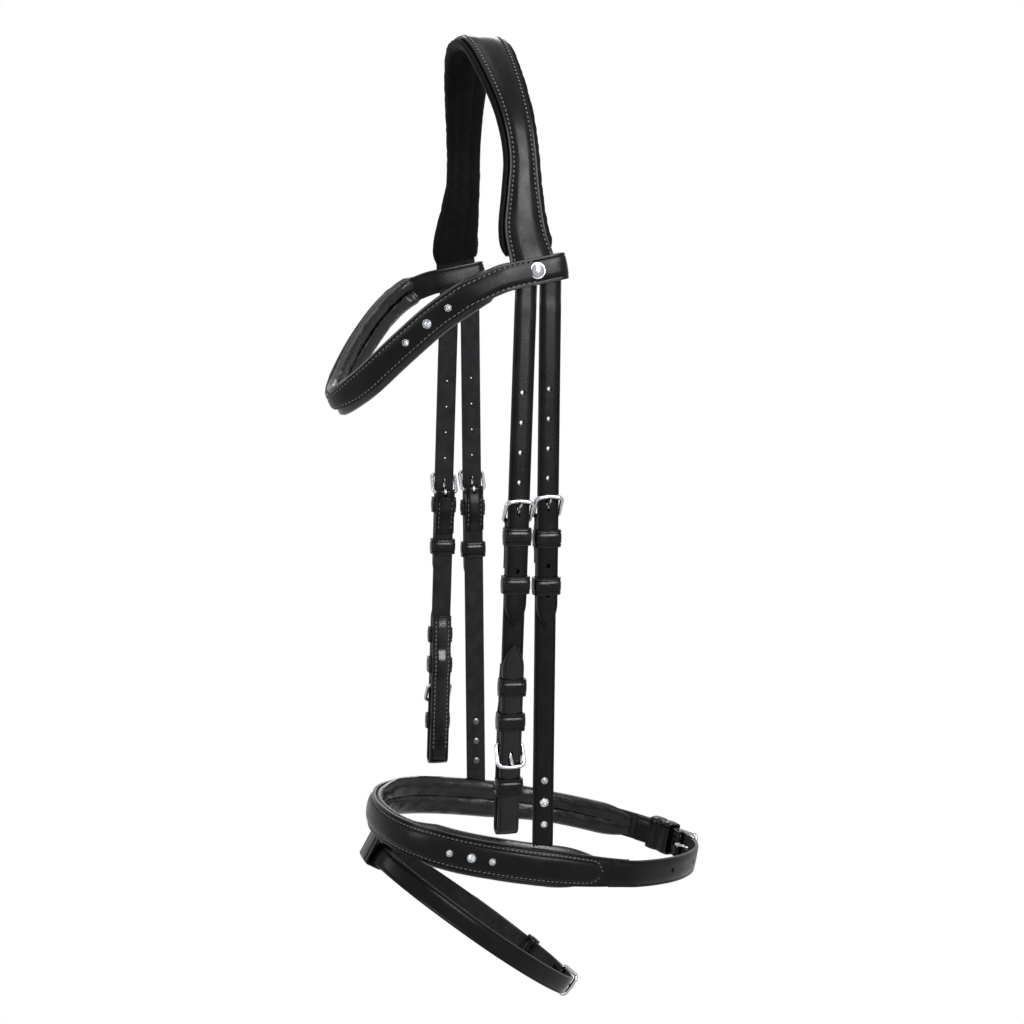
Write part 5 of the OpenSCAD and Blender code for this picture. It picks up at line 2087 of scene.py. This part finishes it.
        rows = stand(line, Vector((0, 0, 1)), half, thick)
        for s in rows:
            s.centre = s.centre + s.out * (0.05 + s.thick / 2)
        skin = loft(rows, lambda s, _: LeatherSection(crown=0.3).ring(s.half, s.thick))
        loop = self.loop()
        cutters = []
        for index in (13 * n, 14 * n, 15 * n):
            run = (loop[index + 1] - loop[index - 1]).normalized()
            out = Vector((0, 0, 1)).cross(run)
            turn = Matrix((out, run, Vector((0, 0, 1)))).transposed().to_4x4()
            cutters.append(moved(awl_hole(0), Matrix.Translation(loop[index] + out * 1.5) @ turn))
        chin_local = place.inverted() @ self.chin
        slot = slot_punch(0.9, 11.7, 1.35)
        for v in slot.verts:
            v.co.x = 8.0 if v.co.x > 0 else -1.5
        cutters.append(moved(slot, chin_local))
        place_piece(moved(punch(skin, cutters), place), "chin_strap", STRAP_FACES, "noseband",
                    ("chin_billet",))
        place_piece(moved(buckle_frame(p.nose_rear_h), self.chin), "chin_buckle_frame", (CHROME,), "noseband",
                    ("chin_buckle",), crisp=60)
        place_piece(moved(buckle_tongue(), self.chin), "chin_tongue_pin", (CHROME,), "chin_tongue",
                    ("chin_tongue",), crisp=60)
        low = -lay.strap - lay.gap - lay.fold
        loops = [
            moved(keeper(p.nose_rear_h, low, lay.strap + 0.2, tall=9.6, gap=0.6), self.keeper_at(i))
            for i in (11 * n + 1, 12 * n - 2)
        ]
        place_piece(join(loops), "chin_keeper_loops", LOOP_FACES, "noseband",
                    ("chin_keepers",))


@dataclass
class Flash:
    """The flash: a loop under the noseband's front and the thin strap that passes through it."""

    pattern: Pattern
    steps: int = 6
    shape: tuple[tuple[float, float], ...] = (
        (-0.42, 0.035), (-0.80, 0.19), (-1, 0.45), (-0.90, 0.70), (-0.58, 0.90), (-0.22, 0.985), (0.22, 0.985),
        (0.58, 0.90), (0.90, 0.70), (1, 0.45), (0.80, 0.19), (0.42, 0.035), (0, 0),
    )

    def line(self) -> list[Vector]:
        """The flash strap's own closed line, from the far side of the loop to the rear and back."""
        p = self.pattern
        return curve_through([Vector((a * p.flash_x, b * p.flash_l, 0)) for a, b in self.shape], self.steps, closed=True)

    def build(self) -> None:
        """Builds the loop, the strap, its buckle, tongue and keeper."""
        p, lay = self.pattern, LAYERS
        self.loop()
        place = p.flash_place()
        line = self.line()
        count = len(line)
        heel = line[5 * self.steps + 2] + Vector((0, lay.heel_n, 0))
        turn = Matrix(((0, 0, 1, 0), (1, 0, 0, 0), (0, 1, 0, 0), (0, 0, 0, 1)))
        seat = place @ Matrix.Translation(line[5 * self.steps + 2]) @ turn
        rows_of: list[Vector] = []
        first, last = int(2.4 * self.steps), count + 5 * self.steps + 1
        for i in range(first, last + 1):
            k = i % count
            run = (line[(k + 1) % count] - line[k - 1]).normalized()
            set_in = min(1.0, max(0.0, (i - count) / (2 * self.steps)))
            rows_of.append(line[k] + Vector((0, 0, 1)).cross(run) * lay.core_n * set_in)
        rows_of = rows_of[:-1]
        lap = lay.wire + 0.57
        fine = curve_through(rows_of, 2)
        thin_at = len(fine)
        fine += [heel + Vector((-2.0, lap, 0))]
        fine += [heel + Vector((lap * math.sin(a), lap * math.cos(a), 0)) for a in (math.radians(v) for v in range(0, 181, 20))]
        fine += [heel + Vector((-2.6, -lap, 0)), heel + Vector((-9, -lap - 0.1, 0)), heel + Vector((-17, -lap - 0.6, 0))]
        along = lengths(fine)

        def half(i: int) -> float:
            full = p.flash_w / 2
            return full * max(0.1, math.sqrt(1 - (1 - along[i] / 10) ** 2)) if along[i] < 10 else full

        def thick(i: int) -> float:
            return 1.1 if i >= thin_at else 2.4

        rows = stand(fine, Vector((0, 0, 1)), half, thick)
        section = LeatherSection(crease=1.8, crease_depth=0.32, crown=0.3)
        skin = loft(rows, lambda s, _: section.ring(s.half, s.thick))
        cutters = [moved(slot_punch(-4.5, 5.0, 1.9), Matrix.Translation(line[5 * self.steps + 2]) @ turn)]
        for v in cutters[0].verts:
            v.co.y = min(v.co.y, heel.y + 2.2)
        tail_slot = slot_punch(0.9, 11.7, 1.35)
        for v in tail_slot.verts:
            v.co.x = 8.0 if v.co.x > 0 else -1.4
        cutters.append(moved(tail_slot, Matrix.Translation(line[5 * self.steps + 2]) @ turn))
        place_piece(moved(punch(skin, cutters), place), "flash_strap_leather", STRAP_FACES, "flash",
                    ("flash_strap",))
        place_piece(moved(buckle_frame(p.flash_w), seat), "flash_buckle_frame", (CHROME,), "flash",
                    ("flash_buckle",), crisp=60)
        place_piece(moved(buckle_tongue(), seat), "flash_tongue_pin", (CHROME,), "flash_tongue",
                    ("flash_tongue",), crisp=60)
        index = 4 * self.steps - 1
        run = (line[index + 1] - line[index - 1]).normalized()
        wide = Vector((0, 0, 1))
        at = Matrix.Translation(line[index]) @ Matrix((wide.cross(run), wide, run)).transposed().to_4x4()
        bm = keeper(p.flash_w, lay.core_n - lay.strap / 2, lay.strap / 2, tall=10.0, gap=0.5)
        place_piece(moved(bm, place @ at), "flash_keeper_loop", LOOP_FACES, "flash",
                    ("flash_keeper",))

    def loop(self) -> None:
        """Builds the loop that hangs under the noseband's front."""
        p = self.pattern
        place = (
            p.nose_place()
            @ Matrix.Translation((0, -p.nose_front * 0.995 + 6.7, -p.nose_h / 2 - 11))
            @ Matrix.Rotation(math.radians(p.nose_slope - 30), 4, "X")
        )
        turn = Matrix(((0, 0, 1, 0), (1, 0, 0, 0), (0, 1, 0, 0), (0, 0, 0, 1)))
        bm = keeper(18.0, -5.2, 5.2, tall=20.0, thick=1.8, gap=0.0)
        place_piece(moved(bm, place @ turn), "flash_hanging_loop", LOOP_FACES, "noseband",
                    ("flash_loop",))


# ---------------------------------------------------------------- studio


@dataclass
class Studio:
    """Pale floor, white surroundings, soft lamps and the camera."""

    eye: tuple[float, float, float] = (1.0516, -0.3298, -0.1741)
    turn: float = 72.465
    tilt: float = 7.09
    lens: float = 56.25

    def build(self) -> None:
        """Builds the studio."""
        self.camera()
        self.world()
        self.floor()
        self.lamp("key", (1.25, 0.40, 0.10), (0.09, 0, -0.12), 0.30, 0.60, 13)
        self.lamp("crown", (1.02, 0.38, 0.50), (0.09, 0, -0.06), 0.32, 0.50, 11)
        self.lamp("front", (0.35, -1.4, 0.1), (0, 0, -0.35), 0.35, 1.0, 8)
        self.lamp("top", (0.0, -0.2, 1.3), (0, 0, -0.2), 0.9, 0.8, 6)
        self.lamp("back", (-1.3, 0.5, 0.4), (0, 0, -0.3), 0.5, 0.9, 9)

    def camera(self) -> None:
        """Stands the camera at the near side, a little in front."""
        data = bpy.data.cameras.new("camera")
        data.lens = self.lens
        data.sensor_width = 36.0
        camera = bpy.data.objects.new("camera", data)
        camera.location = self.eye
        camera.rotation_euler = (math.radians(90 - self.tilt), 0, math.radians(self.turn))
        data.clip_start, data.clip_end = 0.02, 60.0
        bpy.context.scene.collection.objects.link(camera)
        bpy.context.scene.camera = camera

    def world(self) -> None:
        """White to the eye, in metal and in glass; a dim grey light on everything else."""
        world = bpy.data.worlds.new("studio")
        bpy.context.scene.world = world
        world.use_nodes = True
        tree = world.node_tree
        tree.nodes.clear()
        rays = add_node(tree, "ShaderNodeLightPath")
        seen = add_node(
            tree, "ShaderNodeMath", {"operation": "MAXIMUM"},
            {0: rays.outputs["Is Camera Ray"], 1: rays.outputs["Is Glossy Ray"]},
        )
        clear = add_node(
            tree, "ShaderNodeMath", {"operation": "MAXIMUM"}, {0: seen.outputs[0], 1: rays.outputs["Is Transmission Ray"]}
        )
        white = add_node(tree, "ShaderNodeBackground", {"Color": linear("#ffffff"), "Strength": 1.0})
        dim = add_node(tree, "ShaderNodeBackground", {"Color": linear("#e8ebee"), "Strength": 0.3})
        mix = add_node(
            tree, "ShaderNodeMixShader", None,
            {0: clear.outputs[0], 1: dim.outputs["Background"], 2: white.outputs["Background"]},
        )
        add_node(tree, "ShaderNodeOutputWorld", links={"Surface": mix.outputs["Shader"]})

    def floor(self) -> None:
        """Lays the floor well below the bridle, which hangs clear of it."""
        bm = bmesh.new()
        bmesh.ops.create_grid(bm, x_segments=2, y_segments=2, size=30.0)
        mesh = bpy.data.meshes.new("floor")
        bm.to_mesh(mesh)
        bm.free()
        floor = bpy.data.objects.new("floor", mesh)
        floor.location = (0, 0, cad_low.z - 0.35)
        bpy.context.scene.collection.objects.link(floor)
        paint = bpy.data.materials.new("pale_floor")
        paint.use_nodes = True
        tree = paint.node_tree
        tree.nodes.clear()
        rays = add_node(tree, "ShaderNodeLightPath")
        seen = add_node(
            tree, "ShaderNodeMath", {"operation": "MAXIMUM"},
            {0: rays.outputs["Is Camera Ray"], 1: rays.outputs["Is Glossy Ray"]},
        )
        matt = add_node(tree, "ShaderNodeBsdfDiffuse", {"Color": linear("#f4f4f4")})
        white = add_node(tree, "ShaderNodeEmission", {"Color": linear("#ffffff"), "Strength": 1.0})
        mix = add_node(
            tree, "ShaderNodeMixShader", None,
            {0: seen.outputs[0], 1: matt.outputs["BSDF"], 2: white.outputs["Emission"]},
        )
        add_node(tree, "ShaderNodeOutputMaterial", links={"Surface": mix.outputs["Shader"]})
        mesh.materials.append(paint)

    def lamp(
        self, name: str, at: tuple[float, float, float], aim: tuple[float, float, float], wide: float, tall: float,
        watts: float,
    ) -> None:
        """Hangs one soft lamp.

        Args:
            name: Name of the lamp.
            at: Place in metres.
            aim: Point that it faces.
            wide: Width in metres.
            tall: Height in metres.
            watts: Power.
        """
        data = bpy.data.lights.new(name, "AREA")
        data.shape = "RECTANGLE"
        data.size, data.size_y, data.energy = wide, tall, watts
        lamp = bpy.data.objects.new(name, data)
        lamp.location = at
        lamp.rotation_euler = (Vector(at) - Vector(aim)).to_track_quat("Z", "Y").to_euler()
        bpy.context.scene.collection.objects.link(lamp)


def main() -> None:
    """Builds the studio and the bridle, part by part."""
    logging.basicConfig(level=logging.INFO, format="%(message)s")
    bpy.context.scene.view_settings.view_transform = "Standard"
    Studio().build()
    pattern = Pattern.from_frame()
    LOG.info("pattern: %s", pattern)
    parts: list[Crown | Browband | CheekPiece | Hanger | Noseband | Flash] = [Crown(pattern), Browband(pattern)]
    for hand in Hand:
        parts += [CheekPiece(pattern, hand), Hanger(pattern, hand)]
    parts += [Noseband(pattern), Flash(pattern)]
    for part in parts:
        part.build()
        LOG.info("built %s", type(part).__name__)


if __name__ == "__main__":
    main()
